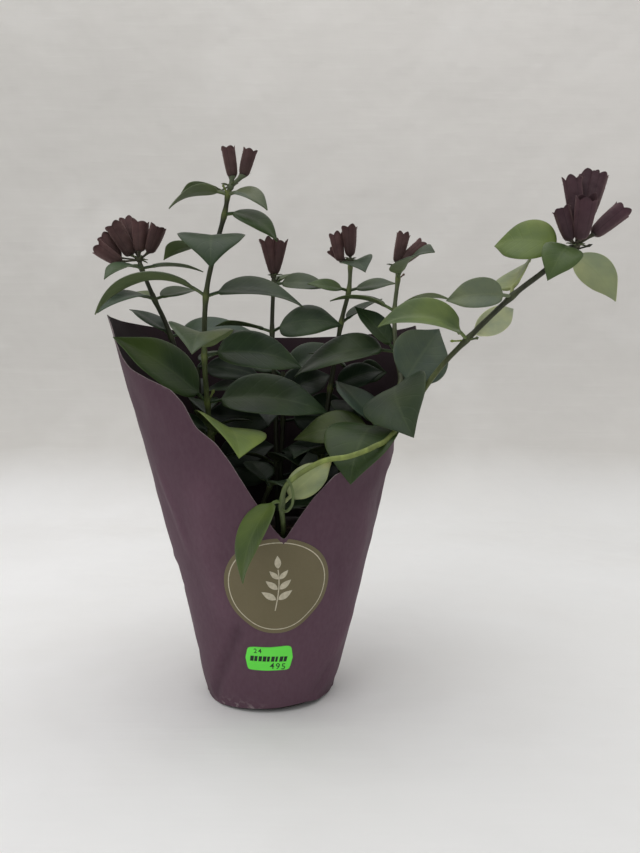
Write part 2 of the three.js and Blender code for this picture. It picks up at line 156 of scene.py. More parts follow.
def dress(shader, colour, roughness=None, height=None, depth=0.0):
    """Links a shader's colour, its roughness, and its bump from a height map of this depth in metres."""
    link(colour, shader.inputs["Base Color"])
    if roughness:
        link(roughness, shader.inputs["Roughness"])
    if height:
        sizes = {"Height": height, "Distance": depth, "Strength": 1.0}
        link(put(shader.id_data, "ShaderNodeBump", sizes), shader.inputs["Normal"])


def blend(factor, a, b, mode="MIX"):
    """The colour between a and b at a factor, in the tree that one of them comes from."""
    tree = next(value.id_data for value in (factor, a, b) if isinstance(value, bpy.types.NodeSocket))
    return put(tree, "ShaderNodeMix", {0: factor, 6: a, 7: b}, data_type="RGBA", blend_type=mode).outputs[2]


def tinted(a, b):
    return blend(1.0, a, b, "MULTIPLY")


def reckon(operation, a, b=0.5, clamp=False):
    return put(a.id_data, "ShaderNodeMath", {0: a, 1: b}, operation=operation, use_clamp=clamp).outputs[0]


def plus(a, b, clamp=False):
    return reckon("ADD", a, b, clamp)


def minus(a, b, clamp=False):
    return reckon("SUBTRACT", a, b, clamp)


def times(a, b, clamp=False):
    return reckon("MULTIPLY", a, b, clamp)


def ramp(value, low, high, start=0.0, end=1.0):
    """A value's way from low to high, made to run from start to end and held there."""
    return put(value.id_data, "ShaderNodeMapRange", {0: value, 1: low, 2: high, 3: start, 4: end}).outputs[0]


def place_in(tree):
    return put(tree, "ShaderNodeTexCoord").outputs["Object"]


# Mottle: soft patches that no real surface is without, from 0 to 1, stretched where the stuff has a grain.
mottle = bpy.data.node_groups.new("mottle", "ShaderNodeTree")
for label, kind, value in (
    ("Scale", "NodeSocketFloat", 100.0), ("Detail", "NodeSocketFloat", 4.0),
    ("Contrast", "NodeSocketFloat", 2.0), ("Stretch", "NodeSocketVector", (1, 1, 1)),
):
    mottle.interface.new_socket(label, in_out="INPUT", socket_type=kind).default_value = value
mottle.interface.new_socket("Mask", in_out="OUTPUT", socket_type="NodeSocketFloat")
asked = mottle.nodes.new("NodeGroupInput").outputs
where = put(mottle, "ShaderNodeMapping", {"Vector": place_in(mottle), "Scale": asked["Stretch"]})
patches = put(mottle, "ShaderNodeTexNoise", {"Vector": where, "Scale": asked["Scale"], "Detail": asked["Detail"]})
centred = times(minus(patches, 0.5), asked["Contrast"])
put(mottle, "NodeGroupOutput", {0: plus(centred, 0.5, True)})


def mottle_in(tree, scale, contrast=2.0, detail=4.0, stretch=(1, 1, 1)):
    sizes = {"Scale": scale, "Contrast": contrast, "Detail": detail, "Stretch": stretch}
    return put(tree, "ShaderNodeGroup", sizes, node_tree=mottle).outputs[0]


pot_plastic, tree, shader = finish_of("pot_plastic", Roughness=0.42, Specular_IOR_Level=0.45)
dust = mottle_in(tree, 60.0, 3.0)
dress(
    shader, blend(dust, (0.030, 0.023, 0.020), (0.052, 0.041, 0.034)), ramp(dust, 0, 1, 0.34, 0.58),
    mottle_in(tree, 900.0, 2.0, stretch=(1, 1, 0.25)), 0.00012,
)

lip_foot = pot_height - lip_height
pot = turned(
    "nursery_pot",
    [
        (0, 0), (14, 0), (foot_radius - 4.6, 0), (foot_radius - 3.0, 0.4), (foot_radius - 1.5, 1.5),
        (foot_radius - 0.4, 3.2), (pot_outer(5), 5), (pot_outer(30), 30), (pot_outer(62), 62),
        (pot_outer(lip_foot - 1.2), lip_foot - 1.2), (pot_outer(lip_foot) + 0.1, lip_foot - 0.3),
        (rim_radius - 0.5, lip_foot), (rim_radius, lip_foot + 0.5), (rim_radius, pot_height - 1.0),
        (rim_radius - 0.15, pot_height - 0.3), (rim_radius - 0.6, pot_height),
        (rim_radius - 1.05, pot_height - 0.3), (rim_radius - pot_wall, pot_height - 1.0),
        (rim_radius - pot_wall - 0.1, lip_foot + 1.5), (pot_inner(lip_foot) + 0.3, lip_foot + 0.3),
        (pot_inner(lip_foot - 1.5), lip_foot - 1.5), (pot_inner(60), 60), (pot_inner(30), 30),
        (pot_inner(5), 5.0), (pot_inner(3) - 0.7, 3.2), (pot_inner(1.7) - 2.6, 1.7),
        (pot_inner(pot_wall) - 4.4, pot_wall), (14, pot_wall), (0, pot_wall),
    ],
)
drains, given, made = growth("drain_holes", Count=4, Ring=0.025, Hole=0.0045, Finish=pot_plastic)
spots = put(drains, "GeometryNodeMeshCircle", {"Vertices": given["Count"], "Radius": given["Ring"]})
punch = put(drains, "GeometryNodeMeshCylinder", {"Vertices": 32, "Radius": given["Hole"], "Depth": 0.01})
punches = put(drains, "GeometryNodeInstanceOnPoints", {"Points": spots, "Instance": punch})
placed = put(drains, "GeometryNodeTransform", {"Geometry": punches, "Rotation": (0, 0, math.pi / 4)})
cut = put(
    drains, "GeometryNodeMeshBoolean", {"Mesh 1": given["Geometry"], "Mesh 2": realized(placed)},
    operation="DIFFERENCE",
)
link(coated(realized(cut), given["Finish"]), made)
grow(pot, drains)
pot.data.set_sharp_from_angle(angle=math.radians(40))
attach(pot, "root")
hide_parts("pot")

# ---------- The compost ----------
# Damp peat that fills the pot to 12 mm below its rim and rises a little in the middle. Its crumbs were
# sieved and poured, so they lie loose on top.

soil_top, soil_dome, dome_radius, soil_gap = 93.0, 2.5, 58, 0.3
soil_edge = (soil_top - 0.5) * MM


def inside(z):
    return pot_inner(z) - soil_gap


profile = [(0, 1.5), (20, 1.5), (inside(1.5) - 4.6, 1.5), (inside(5), 5.4), (inside(30), 30), (inside(60), 60)]
profile.append((inside(soil_top - 1), soil_top - 1))
for k in range(1, 56):
    reach = inside(soil_top) - k
    profile.append((reach, soil_top + soil_dome * (1 - (reach / dome_radius) ** 2)))
compost = turned("compost", profile + [(0, soil_top + soil_dome)], 144)
for v in compost.data.vertices:
    if v.co.z > soil_edge:
        place = v.co / MM
        lumps = 1.1 * noise.noise(place * 0.16) + 0.7 * noise.noise(place * 0.45) + 0.4 * noise.noise(place * 1.1)
        edge = min(1, (inside(soil_top) - place.xy.length) / 4)
        v.co.z += (lumps * edge - 0.6) * MM

peat, tree, shader = finish_of("damp_peat", Roughness=0.95, Specular_IOR_Level=0.25)
crumbs = mottle_in(tree, 420.0, 3.2, 6.0)
fibre = mottle_in(tree, 900.0, 5.0, 2.0, (1, 0.15, 1))
earth = blend(crumbs, (0.010, 0.007, 0.005), (0.052, 0.034, 0.021))
straws = times(minus(fibre, 0.78, True), 3.0, True)
dress(shader, blend(straws, earth, (0.120, 0.082, 0.045)), None, crumbs, 0.0009)


def strewn(given, where):
    """Points strewn over the mesh that goes in, where this says."""
    sizes = {"Mesh": given["Geometry"], "Selection": where, "Density": given["Density"], "Seed": given["Seed"]}
    return put(where.id_data, "GeometryNodeDistributePointsOnFaces", sizes)


def dice(tree, low, high, seed):
    """A random number or turn between low and high for each point."""
    kind, first, result = ("FLOAT_VECTOR", 0, 0) if isinstance(low, tuple) else ("FLOAT", 2, 1)
    node = put(tree, "FunctionNodeRandomValue", {first: low, first + 1: high, "Seed": seed}, data_type=kind)
    return node.outputs[result]


def added(base, more):
    """A geometry with more joined on to it."""
    join = put(base.id_data, "GeometryNodeJoinGeometry", {0: base})
    link(more, join.inputs[0])
    return join


scatter, given, made = growth("loose_crumbs", Density=65000.0, Largest=1.5, Seed=4, Finish=peat)
height = put(scatter, "ShaderNodeSeparateXYZ", {0: put(scatter, "GeometryNodeInputPosition")}).outputs[2]
on_top = put(scatter, "FunctionNodeCompare", {0: height, 1: soil_edge}, operation="GREATER_THAN")
crumb = put(scatter, "GeometryNodeMeshIcoSphere", {"Radius": 0.0011, "Subdivisions": 2})
jog = put(scatter, "ShaderNodeTexNoise", {"Scale": 900.0}).outputs["Color"]
jog = put(scatter, "ShaderNodeVectorMath", {0: jog, 1: (0.5, 0.5, 0.5)}, operation="SUBTRACT")
jog = put(scatter, "ShaderNodeVectorMath", {0: jog, "Scale": 0.0016}, operation="SCALE")
lump = put(scatter, "GeometryNodeSetPosition", {"Geometry": crumb, "Offset": jog})
lumps = put(scatter, "GeometryNodeInstanceOnPoints", {
    "Points": strewn(given, on_top), "Instance": lump,
    "Rotation": dice(scatter, (0, 0, 0), (6.28, 6.28, 6.28), 11),
    "Scale": dice(scatter, 0.35, given["Largest"], given["Seed"]),
})
heap = realized(added(given["Geometry"], lumps))
link(coated(heap, given["Finish"]), made)
grow(compost, scatter)
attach(compost, "root")
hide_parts("soil")

# ---------- The paper sleeve ----------
# Two sheets of coated plum paper, printed on both faces and glued together in a seam down each side. It was
# pulled up round the pot by hand, so it hugs the pot, stands free above it and is creased where it was held.

paper = 0.45
girths = [  # height, then the reach in front, to the right, behind and to the left
    (0, 37.6, 40.4, 38.5, 40.2), (20, 42.8, 45.3, 43, 44), (45, 49, 51.5, 49, 48.8), (80, 56.8, 60, 57, 57),
    (97, 60.8, 64.2, 60.8, 62), (125, 65.4, 70.4, 65, 69.4), (234, 85, 96, 85.5, 98),
]
rim = [  # angle from -Y towards +X, then the height of the cut edge
    (-180, 229), (-150, 230), (-115, 233), (-80, 234), (-76, 220), (-70, 208), (-58, 199), (-37, 188),
    (-32, 181), (-27, 168), (-24, 165), (-19, 160), (-13, 149), (-4, 131), (5, 114.5), (11, 106.8), (18, 119.5),
    (24, 130), (34, 142), (45, 147), (60, 161), (72, 182), (86, 212), (100, 231), (140, 229), (180, 229),
]
folds = [  # from angle, height to angle, height; how far it stands out, its half width in mm, and how sharp
    (-58, 142, -49, 116, 1.2, 5, 1), (-49, 116, -44, 96, 1.0, 5, 1), (-29, 140, -32, 95, 1.7, 14, 1),
    (-32, 95, -24, 58, 1.5, 13, 1), (-15, 56, -24, 40, -1.5, 6, 1), (-24, 40, -40, 19, -1.8, 7, 1),
    (-40, 19, -53, 3, -1.5, 7, 1), (52, 0, 92, 3, -2.2, 9, 0), (-84, 0, -56, 3, -1.0, 8, 0),
    (-88, 90, -78, 84, 0.9, 5, 1), (-86, 72, -70, 66, -0.8, 5, 1), (-90, 40, -72, 22, -0.7, 7, 0),
    (92, 152, 74, 140, 0.9, 5, 1), (74, 140, 80, 112, 0.7, 5, 1), (70, 128, 88, 100, -0.8, 6, 1),
    (57, 126, 64, 84, 1.0, 9, 0), (76, 54, 54, 30, 1.3, 9, 0), (40, 96, 50, 70, -0.8, 7, 1),
    (56, 26, 40, 6, -0.8, 7, 1),
    (140, 150, 158, 96, 0.9, 7, 1), (-150, 170, -128, 110, -0.9, 8, 1), (176, 120, -170, 60, -0.7, 7, 1),
    (120, 60, 138, 20, 0.7, 7, 0), (-120, 60, -140, 18, 0.8, 7, 1), (-110, 196, -96, 150, -0.9, 9, 0),
    (150, 215, 170, 170, 0.8, 9, 0), (112, 190, 104, 140, -0.8, 9, 0), (-60, 200, -48, 170, 0.6, 9, 0),
]
degree_mm = 1.05  # the girth's mm to a degree, near enough for the folds
seams = (-84, 93)  # the angles of the glued seams


def between(table, key):
    """The row of numbers of a table at a key between two of its rows."""
    low = max((row for row in table if row[0] <= key), default=table[0])
    high = min((row for row in table if row[0] >= key), default=table[-1])
    share = 0 if high[0] == low[0] else (key - low[0]) / (high[0] - low[0])
    return [p + (q - p) * share for p, q in zip(low[1:], high[1:])]


def step(low, high, x):
    t = min(1, max(0, (x - low) / (high - low)))
    return t * t * (3 - 2 * t)


def wrapped(angle):
    return (angle + 180) % 360 - 180


def on_sleeve(angle, height, outside=0.0):
    a = math.radians(angle)
    front, right, behind, left = between(girths, height)
    across = (right if math.sin(a) > 0 else left) + outside
    deep = (front if math.cos(a) > 0 else behind) + outside
    reach = 1 / math.hypot(math.sin(a) / across, math.cos(a) / deep)
    return Vector((reach * math.sin(a), -reach * math.cos(a), height))


def rim_height(angle):
    return between(rim, wrapped(angle))[0]


def fold_at(angle, height):
    """How far the folds push the paper out here, and how hard it is creased."""
    push = crease = 0.0
    for a0, h0, a1, h1, depth, width, sharp in folds:
        x, y = wrapped(angle - a0) * degree_mm, height - h0
        ex, ey = wrapped(a1 - a0) * degree_mm, h1 - h0
        along = (x * ex + y * ey) / (ex * ex + ey * ey)
        if -0.4 < along < 1.4:
            off = abs(x * ey - y * ex) / math.hypot(ex, ey) / width
            ends = step(-0.25, 0.3, along) * (1 - step(0.7, 1.25, along))
            shape = max(0, 1 - off) if sharp else math.exp(-off * off * 1.5)
            push += depth * ends * shape
            crease = max(crease, sharp * ends * max(0, 1 - off * 5))
    return push, crease


def relief(angle, height):
    """The paper's stand from its plain form, in mm: folds, slack and the glued seams."""
    spot = on_sleeve(angle, height)
    slack = 0.55 * noise.noise(spot * 0.024) + 0.28 * noise.noise(spot * 0.07 + Vector((9, 2, 5)))
    slack += 0.25 * (0.35 - abs(noise.noise(spot * 0.04 + Vector((3, 7, 1)))))
    free = step(95, 150, height)
    seam = max(step(5.5, 4.2, abs(wrapped(angle - s))) for s in seams)
    push, crease = fold_at(angle, height)
    return push + slack * (0.8 + 1.4 * free) * step(0, 8, height) + 0.3 * seam, crease


def on_paper(angle, height, outside=0.0):
    return on_sleeve(angle, height, relief(angle, height)[0] + outside)


def note(piece, name, kind, rows):
    """Notes a vector or a colour for each point of a piece's mesh."""
    key = {"FLOAT_VECTOR": "vector", "FLOAT_COLOR": "color"}[kind]
    piece.data.attributes.new(name, kind, "POINT").data.foreach_set(key, [n for row in rows for n in row])


columns, rows = 300, 100
points, wear_and_fold_shading, faces = [], [], []
for i in range(columns):
    angle = -180 + 360 * i / columns
    # The foot is trodden up a little in front, and the cut edge is softened over nearly two degrees.
    foot = 3 * max(0, math.cos(math.radians(angle - 10))) ** 2 + 1.6 * math.exp(-(((angle - 34) / 18) ** 2))
    top = (rim_height(angle - 0.8) + rim_height(angle) + rim_height(angle + 0.8)) / 3
    for k in range(rows + 1):
        height = foot + (top - foot) * k / rows
        out, crease = relief(angle, height)
        out += 0.5 * math.exp(-(top - height) / 3) * step(30, 60, 90 - abs(angle))
        points.append(on_sleeve(angle, height, out))
        foot_scuff = math.exp(-(height - foot) / 5 - ((angle + 28) / 32) ** 2)
        scuffed = max(0.2 * crease, foot_scuff, 0.45 * math.exp(-(top - height) / 1.0))
        wear_and_fold_shading.append((scuffed, fold_at(angle, height)[0], 0))
inner = len(points)
for spot, (_, raised, _) in zip(points[:inner], wear_and_fold_shading[:inner]):
    inward = Vector((spot.x, spot.y, 0)).normalized()
    points.append(spot - inward * paper + Vector((0, 0, 0.08)))
    wear_and_fold_shading.append((0, raised, 1))
column_ends = [(i * (rows + 1), (i + 1) % columns * (rows + 1)) for i in range(columns)]
for a, b in column_ends:
    for k in range(rows):
        faces.append((a + k, b + k, b + k + 1, a + k + 1))
        faces.append((inner + a + k, inner + a + k + 1, inner + b + k + 1, inner + b + k))
printed_faces = len(faces)
for a, b in column_ends:
    faces.append((inner + a, inner + b, b, a))
    faces.append((a + rows, b + rows, inner + b + rows, inner + a + rows))
sleeve = piece_of("paper_sleeve", points, faces)
note(sleeve, "place", "FLOAT_VECTOR", wear_and_fold_shading)


def noted(tree, name, output="Vector"):
    """What a mesh has noted under a name."""
    return put(tree, "ShaderNodeAttribute", attribute_name=name).outputs[output]


def split(vector):
    return put(vector.id_data, "ShaderNodeSeparateXYZ", {0: vector}).outputs


plum, tree, shader = finish_of("plum_paper", Roughness=0.6, Specular_IOR_Level=0.13)
worn, raised, within = split(noted(tree, "place"))
cloudy = mottle_in(tree, 14.0, 1.6, 3.0)
fibres = mottle_in(tree, 500.0, 2.4, 5.0, (1, 1, 0.5))
ground = blend(cloudy, (0.074, 0.038, 0.053), (0.096, 0.050, 0.069))
ground = blend(times(fibres, 0.22), ground, (0.135, 0.085, 0.105))
# Painted light and shade: raised folds are made lighter and sunken creases darker, as if side light caught them.
lift = blend(ramp(raised, -1.5, 1.5), (0.80, 0.79, 0.80), (1.20, 1.21, 1.20))
ground = tinted(ground, lift)
# Painted light: the paper is made lighter towards the foot, as if more light fell there.
height = split(place_in(tree))[2]
foot_painted_light = blend(ramp(height, 0.205, 0.06), (0.84, 0.83, 0.84), (1.27, 1.32, 1.33))
ground = tinted(ground, foot_painted_light)
specks = times(minus(mottle_in(tree, 260.0, 6.0, 6.0), 0.62, True), 3.0, True)
rubbed = times(reckon("POWER", worn, 2.5), specks, True)
ground = blend(rubbed, ground, (0.46, 0.40, 0.40))
# Painted shade: the inside face is nearly replaced by a dark colour that grows darker lower down, standing in for the
# shade within the sleeve.
inside_painted_shade = blend(ramp(height, 0.15, 0.23), (0.009, 0.006, 0.006), (0.024, 0.013, 0.017))
ground = blend(times(within, 0.88), ground, inside_painted_shade)
crumple = plus(times(fibres, 0.12), mottle_in(tree, 40.0, 1.5, 2.0))
dress(shader, ground, ramp(cloudy, 0, 1, 0.52, 0.68), crumple, 0.00035)

core, tree, shader = finish_of("paper_core", Roughness=0.85, Specular_IOR_Level=0.2)
pulp = mottle_in(tree, 700.0, 3.0, 5.0)
dress(shader, blend(pulp, (0.20, 0.16, 0.16), (0.33, 0.28, 0.28)), None, pulp, 0.0001)
sleeve.data.materials.append(plum)
sleeve.data.materials.append(core)
for face in sleeve.data.polygons[printed_faces:]:
    face.material_index = 1
sleeve.data.set_sharp_from_angle(angle=math.radians(50))
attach(sleeve, "root")
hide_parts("sleeve")

# ---------- The round label ----------
# A die-cut disc of satin khaki paper, 55 mm across, glued to the sleeve below the V. A thin cream ring and a
# plain sprig are printed on it, and it follows the paper's slack under it.

label_angle, label_height, label_radius, label_paper = 8.0, 80.0, 27.5, 0.14
glue, ink_gap = 0.05, 0.03


def lay(angle, height, x, z, outside, turn=0.0):
    """A flat point of a label, x across and z up from its middle in mm, laid on the sleeve."""
    girth = on_sleeve(angle, height).xy.length
    c, s = math.cos(math.radians(turn)), math.sin(math.radians(turn))
    across, up = x * c - z * s, x * s + z * c
    return on_paper(angle + math.degrees(across / girth), height + up, outside)


def pressed(x, z):
    """The disc's edge was pulled in at the lower right when it was stuck on."""
    r, a = math.hypot(x, z), math.degrees(math.atan2(z, x))
    pull = 0.035 * math.exp(-(((a + 43) / 18) ** 2)) + 0.012 * math.exp(-(((a + 131) / 12) ** 2))
    share = 1 - pull * (r / label_radius) ** 2
    return 1.085 * x * share, 1.02 * z * share


def closed_bands(first, around, rings, clockwise=False):
    """The faces over rings of points that follow each other, closed at both ends."""
    start = tuple(range(first, first + around))
    end = tuple(i + (rings - 1) * around for i in start)
    ends = [start, end[::-1]] if clockwise else [start[::-1], end]
    return bands(first, around, rings, clockwise) + ends


def plate(rings, angle, height, thickness, turn=0.0):
    """The points and faces of a thin plate glued on the sleeve, from rings of flat points round its middle."""
    levels = [(glue, ring) for ring in rings] + [(glue + thickness, ring) for ring in rings[::-1]]
    lifted = [lay(angle, height, x, z, level, turn) for level, ring in levels for x, z in ring]
    return lifted, closed_bands(0, len(rings[0]), len(levels))


circle = [(math.cos(math.radians(3 * i)), math.sin(math.radians(3 * i))) for i in range(120)]
rings = [[pressed(x * r, z * r) for x, z in circle] for r in (2, 5, 8, 11, 14, 17, 20, 23, 25.5, 27, 27.5)]
round_label = piece_of("round_label", *plate(rings, label_angle, label_height, label_paper))
khaki, tree, shader = finish_of("khaki_satin", Roughness=0.5, Specular_IOR_Level=0.25)
satin = mottle_in(tree, 30.0, 1.6, 3.0)
tooth = mottle_in(tree, 800.0, 2.0, 4.0)
ground = blend(satin, (0.138, 0.116, 0.062), (0.168, 0.142, 0.079))
ground = blend(times(tooth, 0.2), ground, (0.19, 0.165, 0.10))
dress(shader, ground, None, plus(times(tooth, 0.08), satin), 0.00025)
round_label.data.materials.append(khaki)
round_label.data.set_sharp_from_angle(angle=math.radians(45))
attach(round_label, "root")
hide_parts("label_round")

points, faces = [], []
ink_stand = glue + label_paper + ink_gap


def print_strip(pairs):
    """Adds a printed shape to the round label: pairs of flat points, left and right, from end to end."""
    first = len(points)
    points.extend(lay(label_angle, label_height, *pressed(*spot), ink_stand) for pair in pairs for spot in pair)
    ends = range(first, len(points) - 2, 2)
    faces.extend((k, k + 1, k + 3, k + 2) for k in ends)


print_strip([((25.4 * x, 25.4 * z), (24.9 * x, 24.9 * z)) for x, z in circle + circle[:1]])
stalk = [(0.9 * math.sin(k / 12 * 2.4) * 2 - 1.0, -14 + 24 * k / 12) for k in range(13)]
print_strip([((x - 0.28, z), (x + 0.28, z)) for x, z in stalk])
for index, (lean, size) in enumerate(((148, 9.5), (36, 9.5), (140, 8.5), (44, 8.5), (132, 7), (52, 7), (93, 8))):
    x0, z0 = stalk[min(12, 3 + 3 * (index // 2))]
    a = math.radians(lean)
    ax, az = math.cos(a), math.sin(a)
    blade = []
    for k in range(9):
        t = k / 8
        wide = 0.19 * size * math.sin(math.pi * t ** 0.8) + 0.05
        cx, cz = x0 + ax * size * (t * 0.92 + 0.08), z0 + az * size * (t * 0.92 + 0.08)
        blade.append(((cx - az * wide, cz + ax * wide), (cx + az * wide, cz - ax * wide)))
    print_strip(blade)
sprig = piece_of("round_label_print", points, faces)
cream, tree, shader = finish_of("cream_ink", Roughness=0.5)
dress(shader, blend(mottle_in(tree, 600.0, 2.5), (0.44, 0.40, 0.29), (0.60, 0.55, 0.42)))
sprig.data.materials.append(cream)
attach(sprig, "root")

# ---------- The price label ----------
# A fluorescent green label from a price gun, 26 by 16 mm, its ends cut to a soft wave by the gun's blade.
# It carries plain numbers stamped with an inked wheel and a row of plain bars.

price_angle, price_height, price_turn, price_paper = 3.0, 36.0, -1.0, 0.12


def price_edge(share):
    """The label's flat outline, anticlockwise from the middle of its right end, as the share of its way round."""
    a = 2 * math.pi * share
    c, s = math.cos(a), math.sin(a)
    x = 11.7 * math.copysign(abs(c) ** 0.1, c)
    z = 7.4 * math.copysign(abs(s) ** 0.1, s)
    x += 1.9 * math.copysign(max(0, math.cos(z / 7.6 * math.pi / 2)) ** 0.9, c) + 0.06 * z * (c < 0)
    z += 0.35 - 0.7 * math.cos((x - 2) * 0.24) ** 2 if s > 0 else -0.5 * math.cos(x * 0.13)
    return x, z


outline = []
for i in range(120):
    (x, z), (next_x, next_z) = price_edge(i / 120), price_edge((i + 1) / 120)
    # Short steps, so that the label follows the sleeve.
    steps = math.ceil(math.hypot(next_x - x, next_z - z) / 0.6)
    outline += [(x + (next_x - x) * k / steps, z + (next_z - z) * k / steps) for k in range(steps)]
rings = [[(x * r, z * r) for x, z in outline] for r in (0.15, 0.35, 0.55, 0.75, 0.92, 1)]
price_label = piece_of("price_label", *plate(rings, price_angle, price_height, price_paper, price_turn))
# The emission makes the label glow evenly whatever light falls on it: a painted glow standing in for the fluorescence
# of its ink.
fluor, tree, shader = finish_of(
    "fluorescent_green", Roughness=0.55, Specular_IOR_Level=0.35, Emission_Color=(0.10, 0.75, 0.05, 1),
    Emission_Strength=0.14,
)
wash = blend(mottle_in(tree, 90.0, 1.5), (0.115, 0.66, 0.062), (0.150, 0.76, 0.085))
dress(shader, wash, None, mottle_in(tree, 700.0, 2.0), 0.00008)
price_label.data.materials.append(fluor)
price_label.data.set_sharp_from_angle(angle=math.radians(45))
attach(price_label, "root")
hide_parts("label_price")

points, faces = [], []


def stamped(x, z):
    return lay(price_angle, price_height, x, z, glue + price_paper + ink_gap, price_turn)


for words, x0, z0, size, lean, drop in (("24", -8.6, 3.4, 4.0, 0.0, 0.0), ("495", 0.4, -6.6, 5.4, 0.05, 0.3)):
    for number, digit in enumerate(words):
        glyph = bpy.data.curves.new("digit", "FONT")
        glyph.body, glyph.size, glyph.resolution_u, glyph.offset = digit, size, 3, 0.03
        carrier = bpy.data.objects.new("digit", glyph)
        bpy.context.scene.collection.objects.link(carrier)
        flat = bpy.data.meshes.new_from_object(carrier.evaluated_get(bpy.context.evaluated_depsgraph_get()))
        first = len(points)
        for x, z, _ in (v.co for v in flat.vertices):
            points.append(stamped(x0 + number * size * 0.62 + x + z * lean, z0 + z - drop * number))
        faces.extend(tuple(first + i for i in face.vertices) for face in flat.polygons)
        bpy.data.objects.remove(carrier)
bar_pitch, bar_height, bar_lean = 2.4, 3.3, 0.5
for number, wide in enumerate((2.0, 1.7, 1.9, 2.0, 1.6, 1.9, 1.3, 2.0, 1.8)):
    x, first = -11.0 + number * bar_pitch, len(points)
    for dx, dz in ((0, 0), (wide, 0), (wide + bar_lean, bar_height), (bar_lean, bar_height)):
        points.append(stamped(x + dx, -1.8 + dz - 0.06 * number))
    faces.append((first, first + 1, first + 2, first + 3))
stamp = piece_of("price_label_print", points, faces)
ink, tree, shader = finish_of("stamping_ink", Roughness=0.6)
dress(shader, blend(mottle_in(tree, 900.0, 3.0), (0.003, 0.006, 0.004), (0.010, 0.030, 0.012)))
stamp.data.materials.append(ink)
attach(stamp, "root")

# ---------- The leafy stems ----------
# Ten stems root in the compost and lean out over the sleeve. Their thick waxy leaves stand in pairs on short
# stalks: glossy dark green with a faint midrib above, paler and matt beneath, where painted light shining through
# adds to their own paleness, and yellower where they are young.

soil_entry = 80.0
# Tone 'deep' is painted shade: a near-black green for the leaves deep inside the plant, where shade falls. Tones
# 'pale', 'pearl' and 'frost' are partly those leaves' paler colour and partly painted light shining through them from
# behind.
tones = {
    "deep": (0.008, 0.019, 0.009), "dark": (0.017, 0.035, 0.015), "blue": (0.032, 0.058, 0.040),
    "grey": (0.060, 0.084, 0.050), "mid": (0.056, 0.090, 0.032), "olive": (0.037, 0.055, 0.014),
    "silver": (0.085, 0.112, 0.078), "moss": (0.050, 0.080, 0.022), "spring": (0.106, 0.150, 0.058),
    "fresh": (0.090, 0.134, 0.036), "young": (0.155, 0.220, 0.062), "pale": (0.225, 0.265, 0.140),
    "pearl": (0.480, 0.530, 0.380), "dusk": (0.026, 0.044, 0.023), "leafy": (0.024, 0.048, 0.012),
    "slate": (0.052, 0.074, 0.056), "frost": (0.135, 0.170, 0.120), "bottle": (0.022, 0.042, 0.011),
}
barks = {
    "green": (0.066, 0.088, 0.036), "dark": (0.030, 0.035, 0.020), "lime": (0.190, 0.245, 0.068),
    "russet": (0.110, 0.060, 0.034), "sage": (0.105, 0.130, 0.075),
}
